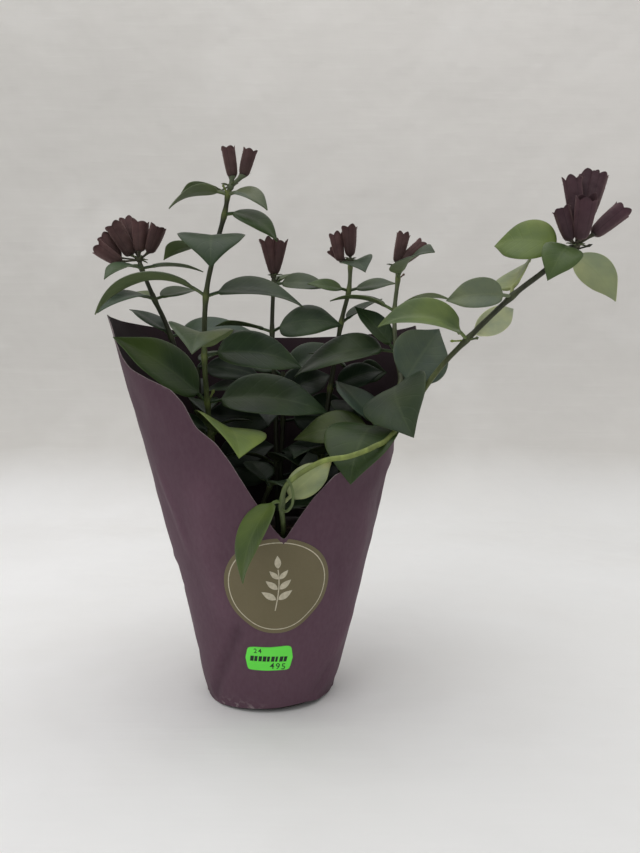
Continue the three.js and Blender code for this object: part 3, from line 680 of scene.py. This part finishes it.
# A stem is its bark from the soil up, its route in mm, its leaves by the route's point, and small side shoots.
# A leaf: tone, heading, rise, length, droop, then where they differ roll, width, fold, early bend.
# A shoot: point of the route, heading, rise, length, radius, bark.
stems = {
    "A": (("dark", "dark"), [
        (-18, 12), (-45, 18, 160), (-66, 18, 224), (-75, 12, 247), (-82, 8, 266), (-83, 8, 270),
    ], {
        1: [("deep", 8, 40, 34, 50), ("deep", -165, 50, 32, 40)],
        2: [("blue", 167, 45, 37, 30, -20), ("blue", 17, 17, 59, 30, 35)],
        3: [("blue", -120, 12, 46, 60, -15), ("dark", 45, 25, 38, 20, 20), ("mid", 135, 25, 30, 20, -10)],
        4: [("blue", -115, 9, 34, 60, -10), ("dark", 18, 18, 40, 35, 12)],
    }, []),
    "B": (("green", "dark"), [
        (-26, -14), (-32, -10, 130), (-35, -14, 160), (-36, -20, 181), (-35, -35, 208), (-33, -40, 241),
        (-28, -42, 264), (-22, -42, 286), (-20, -42, 297), (-19, -42, 300),
    ], {
        2: [("young", -50, 33, 62, 88, -22, 0.82), ("deep", 150, 45, 36, 40)],
        3: [("dark", -12, 13, 76, 52, 46, 0.54), ("leafy", -145, 44, 66, 30, -58, 0.62)],
        4: [("grey", -80, 48, 58, 102, -9, 0.72, 18), ("dark", -8, 14, 62, 66, 54, 0.56)],
        5: [("grey", -172, 40, 71, 100, -5), ("dark", -10, 20, 58, 60, 34, 0.52)],
        6: [("dark", -84, 40, 54, 120, 1, 0.76, 6), ("mid", 140, 34, 48, 60, 0, 0.5)],
        7: [("leafy", -22, 9, 36, 84, 31, 0.78, 8)],
        8: [
            ("silver", -167, 20, 36, 74, 2, 0.62, 4), ("grey", 158, 36, 33, 60),
            ("silver", -32, 14, 27, 86, 31, 0.86),
        ],
    }, [(8, 20, 20, 9, 0.6, "lime"), (8, -120, 40, 6, 0.6, "lime"), (3, 10, 60, 8, 0.8, "lime")]),
    "C": (("dark", "dark"), [
        (4, 12), (3, 16, 140), (2, 18, 184), (0, 20, 227), (1, 20, 258), (1, 20, 262),
    ], {
        1: [("deep", -70, 35, 48, 60), ("deep", 190, 35, 36, 50)],
        2: [
            ("deep", 10, 32, 46, 45, 62, 0.62), ("deep", 195, 30, 50, 60, -30),
            ("deep", -95, -12, 34, 40, 0, 0.66),
        ],
        3: [("dark", -36, 25, 49, 62, 50, 0.8, 8), ("dark", 168, 22, 40, 30)],
        4: [("grey", -16, 6, 37, 30, 48), ("mid", 56, 34, 26, 20)],
    }, [(4, -170, 15, 8, 0.6, "russet"), (4, 10, 50, 6, 0.6, "dark")]),
    "D": (("dark", "sage"), [
        (22, 4), (32, 8, 145), (38, 12, 190), (45, 15, 232), (50, 15, 253), (51, 15, 269), (51, 15, 271),
    ], {
        1: [("deep", 10, 35, 36, 50), ("deep", -110, 35, 48, 60)],
        2: [("deep", -20, 32, 37, 50, 60, 0.68)],
        3: [("dark", 21, 40, 35, 20, 10)],
        4: [("mid", -159, 14, 28, 20, -45), ("grey", -21, 14, 31, 20, 40)],
        5: [("dark", -85, 10, 38, 55, 15, 0.66)],
    }, [(5, -10, 30, 7, 0.6, "russet")]),
    "E": (("dark", "sage"), [
        (26, 0), (54, -16, 140), (66, -24, 165), (79, -22, 190), (78, -8, 212), (78, 0, 238), (80, 0, 258),
        (79, 0, 264),
    ], {
        2: [
            ("olive", -165, 10, 52, 48, -45), ("bottle", -114, 20, 58, 108, -2, 0.88),
            ("blue", 135, 50, 46, 20, 0, 0.8),
        ],
        3: [("dusk", -112, 8, 62, 86, 31, 0.76, 8), ("slate", 40, 46, 53, 5, 58, 0.82)],
        4: [("dark", 178, 12, 72, 60, -35), ("dark", 165, 55, 40, 20, -40)],
        5: [("mid", 173, 35, 43, 50, -10), ("mid", -8, 40, 37, 60)],
        6: [("dark", -82, 40, 40, 62, 40, 0.85)],
    }, [(6, 30, 30, 6, 0.6, "russet")]),
    "F": (("lime", "dark"), [
        (6, -36), (11, -52, 108), (11, -66, 127), (15, -67, 139), (32, -67, 150), (47, -67, 153),
        (60, -66, 158), (71, -60, 165), (94, -56, 197), (110, -60, 215), (132, -66, 237), (147, -70, 249),
        (158, -74, 259), (161, -75, 261),
    ], {
        2: [("moss", -138, 60, 52, 150, 0, 0.52, 14, 0.65), ("pale", 20, 42, 38, 20, 50)],
        9: [("spring", -131, 35, 55, 100, -68, 0.5, 28), ("pearl", 4, 35, 38, 40, 80, 0.48, 20)],
        10: [("frost", -148, 6, 37, 86, -80, 0.58, 26), ("pale", 72, 61, 34, 46, -44, 1.0)],
        12: [
            ("fresh", 182, 27, 43, 80, -74, 0.72, 8), ("mid", -105, 14, 34, 120, -26, 0.7, 8),
            ("pearl", 12, -16, 38, 58, -12, 0.76, 6),
        ],
    }, [(9, 170, -10, 9, 0.6, "lime"), (9, -40, 0, 7, 0.7, "green"), (12, -20, 5, 12, 0.6, "dark")]),
    "G": (("dark", "dark"), [
        (-3, -20), (-3, -28, 116), (2, -32, 132),
    ], {
        1: [("deep", 0, 30, 40, 50, 20), ("deep", 180, 30, 38, 50, -20)],
        2: [("deep", -60, 30, 34, 60), ("deep", 120, 40, 36, 40)],
    }, []),
    "H": (("dark", "dark"), [
        (2, 30), (4, 36, 130), (6, 39, 168), (6, 39, 198), (6, 39, 202),
    ], {
        1: [("deep", 0, 15, 50, 25, 64, 0.64), ("deep", 180, 15, 50, 25, -64, 0.64)],
        2: [("deep", -2, 8, 56, 22, 66, 0.62), ("deep", 182, 8, 58, 22, -66, 0.62)],
        3: [("dark", 8, 42, 50, 45, 56), ("dark", 172, 42, 50, 45, -56)],
    }, []),
    "I": (("dark", "dark"), [
        (38, 22), (46, 24, 140), (52, 22, 180), (52, 22, 200),
    ], {
        1: [("deep", 182, 21, 44, 40, -60, 0.66)],
        2: [("deep", -98, 12, 44, 50), ("deep", 186, 0, 40, 30, -50)],
        3: [("dark", -5, 5, 24, 20, 70, 0.9), ("dark", 160, 50, 34, 50)],
    }, []),
    "J": (("dark", "dark"), [
        (-34, 26), (-42, 26, 140), (-48, 25, 180), (-50, 26, 204),
    ], {
        1: [("deep", -2, 25, 46, 40, 60, 0.66)],
        2: [("deep", -75, 20, 40, 60), ("deep", 110, 60, 30, 40)],
        3: [("dark", 60, 45, 36, 50), ("deep", -22, 4, 44, 40, 50)],
    }, []),
}
old_wood = (0.085, 0.118, 0.050)  # the trailing stem's colour at its foot
# A leaf stalk that curled round on itself low on the trailing stem.
curl_colour = (0.085, 0.120, 0.048)
curl = [(11, -66, 125), (13.5, -68.5, 123.8), (16.4, -69, 127), (17.2, -69, 132), (16.4, -69, 137), (14.2, -68, 141)]


def rooted(point):
    x, y, *z = point
    return Vector((x, y, z[0] if z else soil_entry))


def route_point(route, t):
    """The point and the direction of a stem's smooth route at t, counted in its points."""
    spots = [rooted(p) for p in route]
    i = min(int(t), len(spots) - 2)
    f = t - i
    b, c = spots[i], spots[i + 1]
    a = spots[i - 1] if i else b * 2 - c
    d = spots[i + 2] if i + 2 < len(spots) else c * 2 - b
    m0, m1 = (c - a) / 2, (d - b) / 2
    spot = b * (2 * f**3 - 3 * f**2 + 1) + m0 * (f**3 - 2 * f**2 + f) + c * (3 * f**2 - 2 * f**3) + m1 * (f**3 - f**2)
    way = b * (6 * f**2 - 6 * f) + m0 * (3 * f**2 - 4 * f + 1) + c * (6 * f - 6 * f**2) + m1 * (3 * f**2 - 2 * f)
    return spot, way.normalized()


def blade_outline(u):
    """A leaf's half width at a share of its length, as a share of its widest."""
    a, b = 0.58, 0.92
    widest = a / (a + b)
    return u**a * (1 - u) ** b / (widest**a * (1 - widest) ** b) * (1 - 0.28 * step(0.62, 0.98, u))


def way_of(heading, rise):
    h, r = math.radians(heading), math.radians(rise)
    return Vector((math.cos(h) * math.cos(r), math.sin(h) * math.cos(r), math.sin(r)))


def level_side(heading):
    h = math.radians(heading)
    return Vector((-math.sin(h), math.cos(h), 0))


def stalk_of(length):
    return 3 + 0.08 * length


def leaf_frame(foot, row, s):
    """The midrib's point, its side and its normal at a distance along a leaf."""
    heading, rise, length, droop, roll, early = row
    out = way_of(heading, rise)
    side = Matrix.Rotation(math.radians(roll), 3, out) @ level_side(heading)
    up = out.cross(side)
    stalk = stalk_of(length)
    spot, turned_by = foot.copy(), 0.0
    for start, end, share in ((0, stalk, early), (stalk, length, 1 - early)):
        if s <= start:
            break
        bend = math.radians(max(droop, 1)) * share / (end - start)
        new = turned_by + bend * (min(s, end) - start)
        spot += out * ((math.sin(new) - math.sin(turned_by)) / bend)
        spot += up * ((math.cos(new) - math.cos(turned_by)) / bend)
        turned_by = new
    return spot, side, up * math.cos(turned_by) + out * math.sin(turned_by)


tip_half, rib_half, rib_sunk, rib_raised = 0.22, 0.8, 0.30, 0.45


def grow_leaf(body, foot, leaf, chance, stalk_radius=0.95, thick=0.5):
    """Adds one leaf with its stalk to a body of points, faces, places and tones."""
    tone, heading, rise, length, droop, *rest = leaf
    roll, width, fold, early = (*rest, *(0, 0.58, 14, None)[len(rest):])
    stalk = stalk_of(length)
    row = (heading, rise, length, droop, roll, stalk / length if early is None else early)
    blade = length - stalk
    points, faces, places, colours = body
    first, half_ring = len(points), 14
    around = 2 * half_ring
    wave, phase, bias = chance.uniform(0.2, 0.7), chance.uniform(0, 6), chance.uniform(-0.05, 0.05)
    recurve, shade = chance.uniform(0.02, 0.14), chance.uniform(0.88, 1.14)
    colour = (*(c * shade for c in tones[tone]), 1.0)
    hollow = math.radians(fold)
    stations = [stalk * k / 5 for k in range(6)]
    stations += [stalk + blade * (0.5 - 0.5 * math.cos(math.pi * k / 30)) for k in range(1, 31)]
    for s in stations:
        u = max(0.0, (s - stalk) / blade)
        spot, side, normal = leaf_frame(foot, row, min(s, length))
        least = stalk_radius if u < 0.5 else tip_half
        half = max(blade_outline(u) * width * blade / 2 if u < 1 else 0, least)
        opened = step(0.0, 0.07, u)
        deep = stalk_radius + (thick * (1 - 0.3 * u) - stalk_radius) * step(0.0, 0.12, u)
        power = 2 + 4 * opened
        for j in range(around):
            top = j <= half_ring
            q = math.sin(((j if top else around - j) / half_ring - 0.5) * math.pi)
            lift = half * (math.sin(hollow) * abs(q) ** 1.4 - recurve * abs(q) ** 5) * opened
            lift += opened * wave * math.sin(5 * u + phase + (1.5 if q > 0 else 0)) * abs(q) ** 3 * min(1, half / 8)
            x = half * (q + bias * opened * math.sin(math.pi * u)) * (1 + (math.cos(hollow) - 1) * opened)
            skin = deep * math.sqrt(max(0, 1 - abs(q) ** power))
            rib = math.exp(-((q * half / rib_half) ** 2)) * opened * (1 - u)
            z = lift + (skin - rib_sunk * rib if top else -skin - rib_raised * rib)
            points.append(spot + side * x + normal * z)
            places.append((q, u, 0.0 if top else 1.0))
            colours.append(colour)
    faces.extend(closed_bands(first, around, len(stations), clockwise=True))


waxy, tree, shader = finish_of("waxy_leaf", Roughness=0.45, Specular_IOR_Level=0.27)
across, along, beneath = split(noted(tree, "place"))
tone = noted(tree, "tone", "Color")
off = reckon("ABSOLUTE", across)
patch = mottle_in(tree, 55.0, 2.2, 3.0)
pores = mottle_in(tree, 700.0, 2.0, 4.0)
tint = tinted(tone, blend(patch, (0.70, 0.75, 0.80), (1.40, 1.32, 1.00)))
warm = ramp(mottle_in(tree, 26.0, 3.0, 1.0), 0.55, 1.0, 0.0, 0.30)
tint = blend(warm, tint, tinted(tone, (3.0, 2.2, 1.0)))
# The side veins leave the midrib at a slant and fade before the edge.
slant = minus(times(along, 7.0), times(off, 1.6))
ripple = reckon("SINE", times(slant, 6.2832))
veins = ramp(ripple, 0.86, 1.0, 0.0, 0.035)
midrib = ramp(off, 0.02, 0.07, 0.13, 0.0)
margin = ramp(off, 0.955, 0.995, 0.0, 0.30)
lines = reckon("MAXIMUM", reckon("MAXIMUM", midrib, margin), veins)
pale = blend(0.5, tinted(tone, (2.6, 2.2, 1.8)), (0.19, 0.24, 0.11))
above = blend(lines, tint, pale)
# Beneath, the leaf is paler: partly its own colour, partly painted light shining through the leaf from behind.
below = blend(0.62, tint, (0.150, 0.195, 0.082))
below = blend(times(lines, 2.0, True), below, (0.26, 0.31, 0.16))
sheen = plus(times(patch, 0.12), times(beneath, 0.14))
surface = plus(times(pores, 0.10), times(veins, -5.0))
surface = plus(surface, times(patch, 0.9))
dress(shader, blend(beneath, above, below), plus(sheen, 0.38), surface, 0.00028)

rind, tree, shader = finish_of("stem_rind", Roughness=0.5, Specular_IOR_Level=0.3)
streaks = mottle_in(tree, 260.0, 2.6, 4.0, (1, 1, 0.2))
bark = tinted(noted(tree, "tone", "Color"), blend(streaks, (0.7, 0.66, 0.62), (1.3, 1.25, 1.1)))
dress(shader, bark, None, streaks, 0.00025)

stem_tree, given, made = growth("stem_from_route", Sides=12, Finish=rind)
girth = put(stem_tree, "GeometryNodeInputNamedAttribute", {"Name": "girth"}, data_type="FLOAT")
on_route = put(stem_tree, "FunctionNodeCompare", {0: girth, 1: 0.0}, operation="GREATER_THAN")
parts = put(stem_tree, "GeometryNodeSeparateGeometry", {"Geometry": given["Geometry"], "Selection": on_route})
line = put(stem_tree, "GeometryNodeMeshToCurve", {"Mesh": parts.outputs["Selection"]})
ringed = put(stem_tree, "GeometryNodeCurvePrimitiveCircle", {"Resolution": given["Sides"], "Radius": 1.0})
tube = put(
    stem_tree, "GeometryNodeCurveToMesh", {"Curve": line, "Profile Curve": ringed, "Scale": girth, "Fill Caps": True}
)
smooth = put(stem_tree, "GeometryNodeSetShadeSmooth", {"Geometry": tube})
grown = added(parts.outputs["Inverted"], coated(smooth, given["Finish"]))
link(realized(grown), made)


def leafy_piece(name, body, lines):
    """A piece of leaves and of tubes that follow lines of (point, radius, colour)."""
    points, faces, places, colours = body
    girth, edges = [0.0] * len(points), []
    for line in lines:
        edges += [(k, k + 1) for k in range(len(points), len(points) + len(line) - 1)]
        for spot, radius, colour in line:
            points.append(spot)
            places.append((0, 0, 0))
            colours.append((*colour, 1))
            girth.append(radius * MM)
    piece = piece_of(name, points, faces, edges)
    note(piece, "place", "FLOAT_VECTOR", places)
    note(piece, "tone", "FLOAT_COLOR", colours)
    piece.data.attributes.new("girth", "FLOAT", "POINT").data.foreach_set("value", girth)
    piece.data.materials.append(waxy)
    grow(piece, stem_tree)
    return piece


def mixed(a, b, share):
    return [p * (1 - share) + q * share for p, q in zip(a, b)]


lines_per_point = 12
for key, (bark, route, leaves, shoots) in stems.items():
    trailing = key == "F"
    chance = random.Random(ord(key))
    body = ([], [], [], [])
    for index, pairs in leaves.items():
        for leaf in pairs:
            grow_leaf(body, rooted(route[index]), leaf, chance)
    low, high = barks[bark[0]], barks[bark[1]]
    joint_colour = barks["lime" if key in "BDE" else "green"]
    last = len(route) - 1
    joints = [rooted(route[index]) for index in leaves]
    line = []
    for k in range(last * lines_per_point + 1):
        spot, _ = route_point(route, k / lines_per_point)
        share = k / lines_per_point / last
        near = min(((spot - joint).length for joint in joints), default=99)
        radius = 1.45 if trailing else 1.75 - 0.55 * share
        radius *= 1 + 0.38 * math.exp(-((near / 3.2) ** 2)) + 0.04 * noise.noise(spot * 0.3)
        up = step(0.35, 0.75, share)
        colour = [a + (b - a) * up for a, b in zip(low, high)]
        colour = mixed(colour, joint_colour, 0.5 * math.exp(-((near / 2.6) ** 2)))
        if trailing:
            colour = mixed(colour, old_wood, step(0.30, 0.18, share))
        line.append((spot, radius, colour))
    lines = [line]
    if trailing:
        lines.append([(route_point(curl, k / 6)[0], 0.75, curl_colour) for k in range(31)])
    for index, heading, rise, length, radius, shoot_bark in shoots:
        out, foot = way_of(heading, rise), rooted(route[index])
        shape = []
        for k in range(9):
            t = k / 8
            swell = (1.0 - 0.35 * t + 0.7 * math.exp(-(((t - 0.88) / 0.1) ** 2))) * (0.25 if k == 8 else 1)
            rising = Vector((0, 0, 0.12 * length * t * t))
            shape.append((foot + out * length * t + rising, radius * swell, barks[shoot_bark]))
        lines.append(shape)
    stem = leafy_piece("leafy_stem_" + key, body, lines)
    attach(stem, "root")
    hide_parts("stem_" + key)

# ---------- The flower clusters ----------
# At each flowering tip stand tubular calyces of dark maroon, each fused from five sepals whose tips stay
# free as short lobes, on thin stalks. They are softly downed, and their red flowers are still to come.

blooms = {  # for each calyx: heading, rise, length of its stalk, its own length, radius, fullness, its stalk's way
    "A": [
        (-158, 29, 12, 18, 4.8, 0.5, -159, -10), (168, 57, 14, 18, 4.7, 0.4, 172, 7),
        (-165, 61, 6, 23, 5.5, 0.6, 180, 31), (143, 70, 10, 24, 5.1, 0.5, 125, 45),
        (-49, 83, 5.5, 20, 5.3, 0.4, -66, 78), (-20, 62, 8, 18.5, 5.0, 0.3, -9, 36),
    ],
    "B": [(180, 80, 6, 17, 3.7, 0.9, 0, 78), (0, 75, 10, 15, 3.7, 0.9, 0, 42)],
    "C": [(-131, 76, 1.5, 24, 4.4, 0.0), (-33, 80, 2, 23, 4.3, 0.1, -23, 50), (93, 80, 3.5, 24, 4.1, 0.0, 88, 56)],
    "D": [(180, 79, 6.5, 18.5, 4.2, 0.4, 180, 0), (-126, 86, 3, 20, 4.8, 0.2), (160, 45, 5, 13, 3, 0.4, 143, 0)],
    "E": [(12, 76, 3, 19.5, 4, 0.6), (11, 42, 4.5, 20, 4.2, 0.5)],
    "F": [
        (-92, 63, 4.5, 22, 5.1, 0.5, -85, 27), (47, 76, 20, 25, 5.0, 0.5, 50, 61),
        (31, 71, 18, 26, 4.9, 0.4, 36, 59), (134, 85, 11, 26, 4.5, 0.5, 70, 80),
        (-170, 71, 5.5, 18, 4.2, 0.3, -147, 18), (-4, 43, 10, 20, 4.7, 0.6, -7, 32),
    ],
}
tones["bract"] = (0.030, 0.034, 0.020)
tube_form = [  # share of the calyx's length, share of its radius
    (0.02, 0.42), (0.06, 0.55), (0.12, 0.65), (0.20, 0.71), (0.32, 0.80), (0.45, 0.87), (0.58, 0.92), (0.70, 0.96),
    (0.80, 0.98),
]
lobe_foot, lobe_base = 0.80, 0.862  # the shares of the calyx's length where its lobes start and where they part
floor_wall, rim_wall, lobe_pitch = 0.35, 0.42, 2 * math.pi / 5


def grow_calyx(body, foot, row, chance, stalk_girth, stalk_colour, cast):
    """Adds one hollow calyx with its stalk to a body of points, faces, places and tones."""
    heading, rise, stalk, length, radius, full, *stalk_way = row
    out = way_of(heading, rise)
    aside = (way_of(*stalk_way) - out) * stalk if stalk_way else Vector()
    side = level_side(heading)
    up = out.cross(side)
    points, faces, places, colours = body
    first, around = len(points), 40
    spin, bow = chance.uniform(0, 6.28), chance.uniform(-0.05, 0.05)
    flares = [chance.uniform(0.3, 2.0) for _ in range(5)]
    shade = chance.uniform(0.78, 1.3)
    lengths = [chance.uniform(0.90, 1.0) for _ in range(5)]
    rings = [("stalk", 0.0, 0.95), ("stalk", 0.3, 0.75), ("stalk", 0.7, 0.85), ("stalk", 0.92, 1.25)]
    rings += [("tube", share, wide) for share, wide in tube_form]
    rings += [("lobe", k / 7, 0.0) for k in range(1, 8)]
    rings += [("within", k / 7, 0.0) for k in range(7, -1, -1)]
    rings += [("floor", 0.62, 0.70), ("floor", 0.50, 0.45), ("floor", 0.46, 0.08)]
    for kind, share, wide in rings:
        for j in range(around):
            # The lobe that this angle lies on, and the place across it from -1 to 1.
            angle = 2 * math.pi * j / around
            turns = (angle / lobe_pitch) % 5
            number, x = int(turns), 2 * (turns % 1) - 1
            ridge = math.cos(x * math.pi)
            if kind == "stalk":
                reach, around_it, height = stalk * share, wide * stalk_girth, -0.2
            elif kind in ("tube", "floor"):
                reach, height = stalk + length * share, share
                around_it = radius * wide ** (1 - 0.6 * full) * (1 + 0.045 * ridge * step(0.05, 0.3, share))
                around_it -= floor_wall if kind == "floor" else 0
            else:
                tip = lobe_base + (lengths[number] - lobe_base) * (1 - abs(x) ** 1.7)
                height = lobe_foot + (tip - lobe_foot) * share
                reach = stalk + length * height
                flare = 0.985 + 0.09 * flares[number] * (1 - 0.5 * abs(x)) * share**1.5
                around_it = radius * flare * (1 + 0.045 * ridge * (1 - 0.5 * share))
                around_it -= rim_wall * (1 - 0.6 * share) if kind == "within" else 0
            a = angle + spin
            bend = bow * length * max(0, height) ** 2 * 1.2
            spot = foot + out * reach + side * (around_it * math.cos(a)) + up * (around_it * math.sin(a) + bend)
            spot += aside * (share if kind == "stalk" else 1)
            points.append(spot)
            places.append((x, height, 1.0 if kind in ("within", "floor") else 0.0))
            colours.append((*(stalk_colour if kind == "stalk" else (shade * c for c in cast)), 1))
    faces.extend(closed_bands(first, around, len(rings)))


down, tree, shader = finish_of(
    "downed_maroon", Roughness=0.72, Specular_IOR_Level=0.3, Sheen_Weight=0.22, Sheen_Roughness=0.5,
    Sheen_Tint=(0.80, 0.50, 0.45, 1),
)
across, along, within = split(noted(tree, "place"))
tone = noted(tree, "tone", "Color")
velvet = mottle_in(tree, 180.0, 2.4, 5.0)
skin = blend(ramp(along, 0.0, 0.9), (0.040, 0.023, 0.022), (0.064, 0.028, 0.031))
skin = blend(times(velvet, 0.5), skin, (0.098, 0.054, 0.050))
# Painted shade: the grooves down the tube and between the lobes are darkened.
groove_painted_shade = ramp(reckon("ABSOLUTE", across), 0.82, 1.0, 0.0, 0.6)
skin = blend(groove_painted_shade, skin, (0.016, 0.009, 0.010))
skin = blend(ramp(along, 0.86, 0.98, 0.0, 0.65), skin, (0.022, 0.012, 0.012))
skin = blend(within, skin, (0.034, 0.012, 0.014))
on_stalk = ramp(along, -0.195, -0.16, 1.0, 0.0)
dress(shader, blend(on_stalk, tinted(skin, tone), tone), None, velvet, 0.0004)

down_tree, given, made = growth("calyx_down", Density=600000.0, Length=0.0005, Seed=7, Finish=down)
place = put(down_tree, "GeometryNodeInputNamedAttribute", {"Name": "place"}, data_type="FLOAT_VECTOR")
_, along, within = split(place)
outer = put(down_tree, "FunctionNodeCompare", {0: within, 1: 0.2}, operation="LESS_THAN")
high = put(down_tree, "FunctionNodeCompare", {0: along, 1: 0.04}, operation="GREATER_THAN")
downed = put(down_tree, "FunctionNodeBooleanMath", {0: outer, 1: high}, operation="AND")
roots = strewn(given, downed)
hair = put(down_tree, "GeometryNodeMeshCone", {
    "Vertices": 3, "Radius Top": 0.0, "Radius Bottom": 0.00005, "Depth": given["Length"],
}, fill_type="NONE")
lean = dice(down_tree, (-0.5, -0.5, 0), (0.5, 0.5, 6.28), 3)
tilt = {0: roots.outputs["Rotation"], 1: lean}
hairs = put(down_tree, "GeometryNodeInstanceOnPoints", {
    "Points": roots, "Instance": hair, "Scale": dice(down_tree, 0.6, 1.3, 5),
    "Rotation": put(down_tree, "FunctionNodeRotateRotation", tilt, rotation_space="LOCAL"),
})
furred = added(given["Geometry"], coated(hairs, given["Finish"]))
link(realized(furred), made)

knob_rise, knob_radius, knob_around, knob_rings = 1.455, 2.0, 16, 7
for key, calyces in blooms.items():
    chance = random.Random(100 + ord(key))
    route = stems[key][1]
    tip, along = route_point(route, len(route) - 1)
    foot = tip + along * knob_rise
    body = ([], [], [], [])
    stout = key == "B"
    stalk_colour = barks["sage"] if stout else (0.050, 0.052, 0.030)
    cast = (0.76, 0.70, 0.92) if key == "F" else (1.06, 1.04, 1.0)
    for row in calyces:
        grow_calyx(body, foot, row, chance, 1.7 if stout else 1.0, stalk_colour, cast)
    calyx_faces = len(body[1])
    for k in range(5):
        bract = ("bract", 72 * k + chance.uniform(-20, 20), chance.uniform(10, 50), chance.uniform(5, 7), 40, 0, 0.5)
        grow_leaf(body, foot, bract, chance, 0.5, 0.25)
    bract_end = len(body[1])
    # The knob that the stalks stand on.
    points, faces, places, colours = body
    first = len(points)
    for k in range(1, knob_rings + 1):
        for j in range(knob_around):
            polar, turn = math.pi * k / (knob_rings + 1), 2 * math.pi * j / knob_around
            spot = (math.sin(polar) * math.cos(turn), math.sin(polar) * math.sin(turn), math.cos(polar))
            points.append(foot + knob_radius * Vector(spot))
            places.append((0, -0.2, 0))
            colours.append((*stalk_colour, 1))
    faces.extend(closed_bands(first, knob_around, knob_rings, clockwise=True))
    cluster = piece_of("flower_cluster_" + key, points, faces)
    note(cluster, "place", "FLOAT_VECTOR", places)
    note(cluster, "tone", "FLOAT_COLOR", colours)
    cluster.data.materials.append(down)
    cluster.data.materials.append(waxy)
    for face in cluster.data.polygons[calyx_faces:bract_end]:
        face.material_index = 1
    grow(cluster, down_tree)
    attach(cluster, "root")
    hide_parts("bloom_" + key)

# ---------- The studio ----------
# A seamless sweep of off-white paper, soft light from above and from the left, and the camera.

sweep = [(-2.4, 0.0), (-1.0, 0.0), (0.0, 0.0), (0.52, 0.0)]
sweep += [(0.52 + 0.28 * math.sin(a * math.pi / 32), 0.28 - 0.28 * math.cos(a * math.pi / 32)) for a in range(1, 17)]
sweep += [(0.80, 0.8), (0.80, 2.4)]
points = [(x / MM, y / MM, z / MM) for y, z in sweep for x in (-3.0, -1.5, 0.0, 1.5, 3.0)]
faces = [(5 * k + i, 5 * k + i + 1, 5 * k + i + 6, 5 * k + i + 5) for k in range(len(sweep) - 1) for i in range(4)]
backdrop = piece_of("backdrop", points, faces)
offwhite, tree, shader = finish_of("backdrop_paper", Roughness=0.9, Specular_IOR_Level=0.2)
soft = mottle_in(tree, 3.0, 1.4, 4.0)
grain = mottle_in(tree, 120.0, 2.6, 3.0, (0.07, 1, 1))
rightward, _, height = split(place_in(tree))
level = ramp(minus(height, times(soft, 0.05)), -0.03, 0.07)
# Painted light: the wall is made lighter towards its far right and top, and the floor lighter towards the left, as if
# lit more there.
far_corner_light = ramp(plus(rightward, height), 0.40, 1.35)
wall = blend(far_corner_light, (0.636, 0.620, 0.592), (0.752, 0.731, 0.702))
floor = blend(ramp(rightward, -0.28, 0.02), (0.95, 0.95, 0.955), (0.876, 0.878, 0.876))
ground = blend(level, floor, wall)
ground = blend(times(soft, 0.35), ground, tinted(ground, (0.93, 0.93, 0.94)))
cloud = ramp(mottle_in(tree, 5.0, 2.6, 3.0), 0.55, 1.0, 0.0, 0.28)
ground = blend(cloud, ground, (0.80, 0.79, 0.77))
streaks = times(minus(grain, 0.72, True), times(level, 0.25))
ground = blend(streaks, ground, (0.84, 0.83, 0.81))
dress(shader, ground, None, plus(times(grain, 0.006), soft), 0.02)
backdrop.data.materials.append(offwhite)


def soft_light(name, place, target, size, power, colour):
    lamp = bpy.data.lights.new(name, "AREA")
    lamp.shape, lamp.size, lamp.energy, lamp.color = "SQUARE", size, power, colour
    holder = bpy.data.objects.new(name, lamp)
    holder.location = place
    holder.rotation_euler = (Vector(target) - Vector(place)).to_track_quat("-Z", "Y").to_euler()
    bpy.context.scene.collection.objects.link(holder)


soft_light("window_light", (-0.9, -1.3, 1.6), (0, 0, 0.1), 1.4, 7, (1.0, 0.99, 0.97))
soft_light("ceiling_light", (-0.1, 0.0, 2.2), (0, 0.1, 0), 2.2, 23, (1.0, 0.995, 0.985))
world = bpy.data.worlds.new("room")
world.use_nodes = True
sky = world.node_tree.nodes["Background"].inputs
sky["Color"].default_value = (0.80, 0.80, 0.80, 1)
sky["Strength"].default_value = 0.60
bpy.context.scene.world = world
bpy.context.scene.view_settings.view_transform = "Standard"

eye = bpy.data.cameras.new("camera")
eye.sensor_width, eye.lens = 36.0, 27.854
camera = bpy.data.objects.new("camera", eye)
camera.location = (0.0314, -0.4154, 0.184)
camera.rotation_euler = (math.radians(87.5), 0, 0)
bpy.context.scene.collection.objects.link(camera)
bpy.context.scene.camera = camera
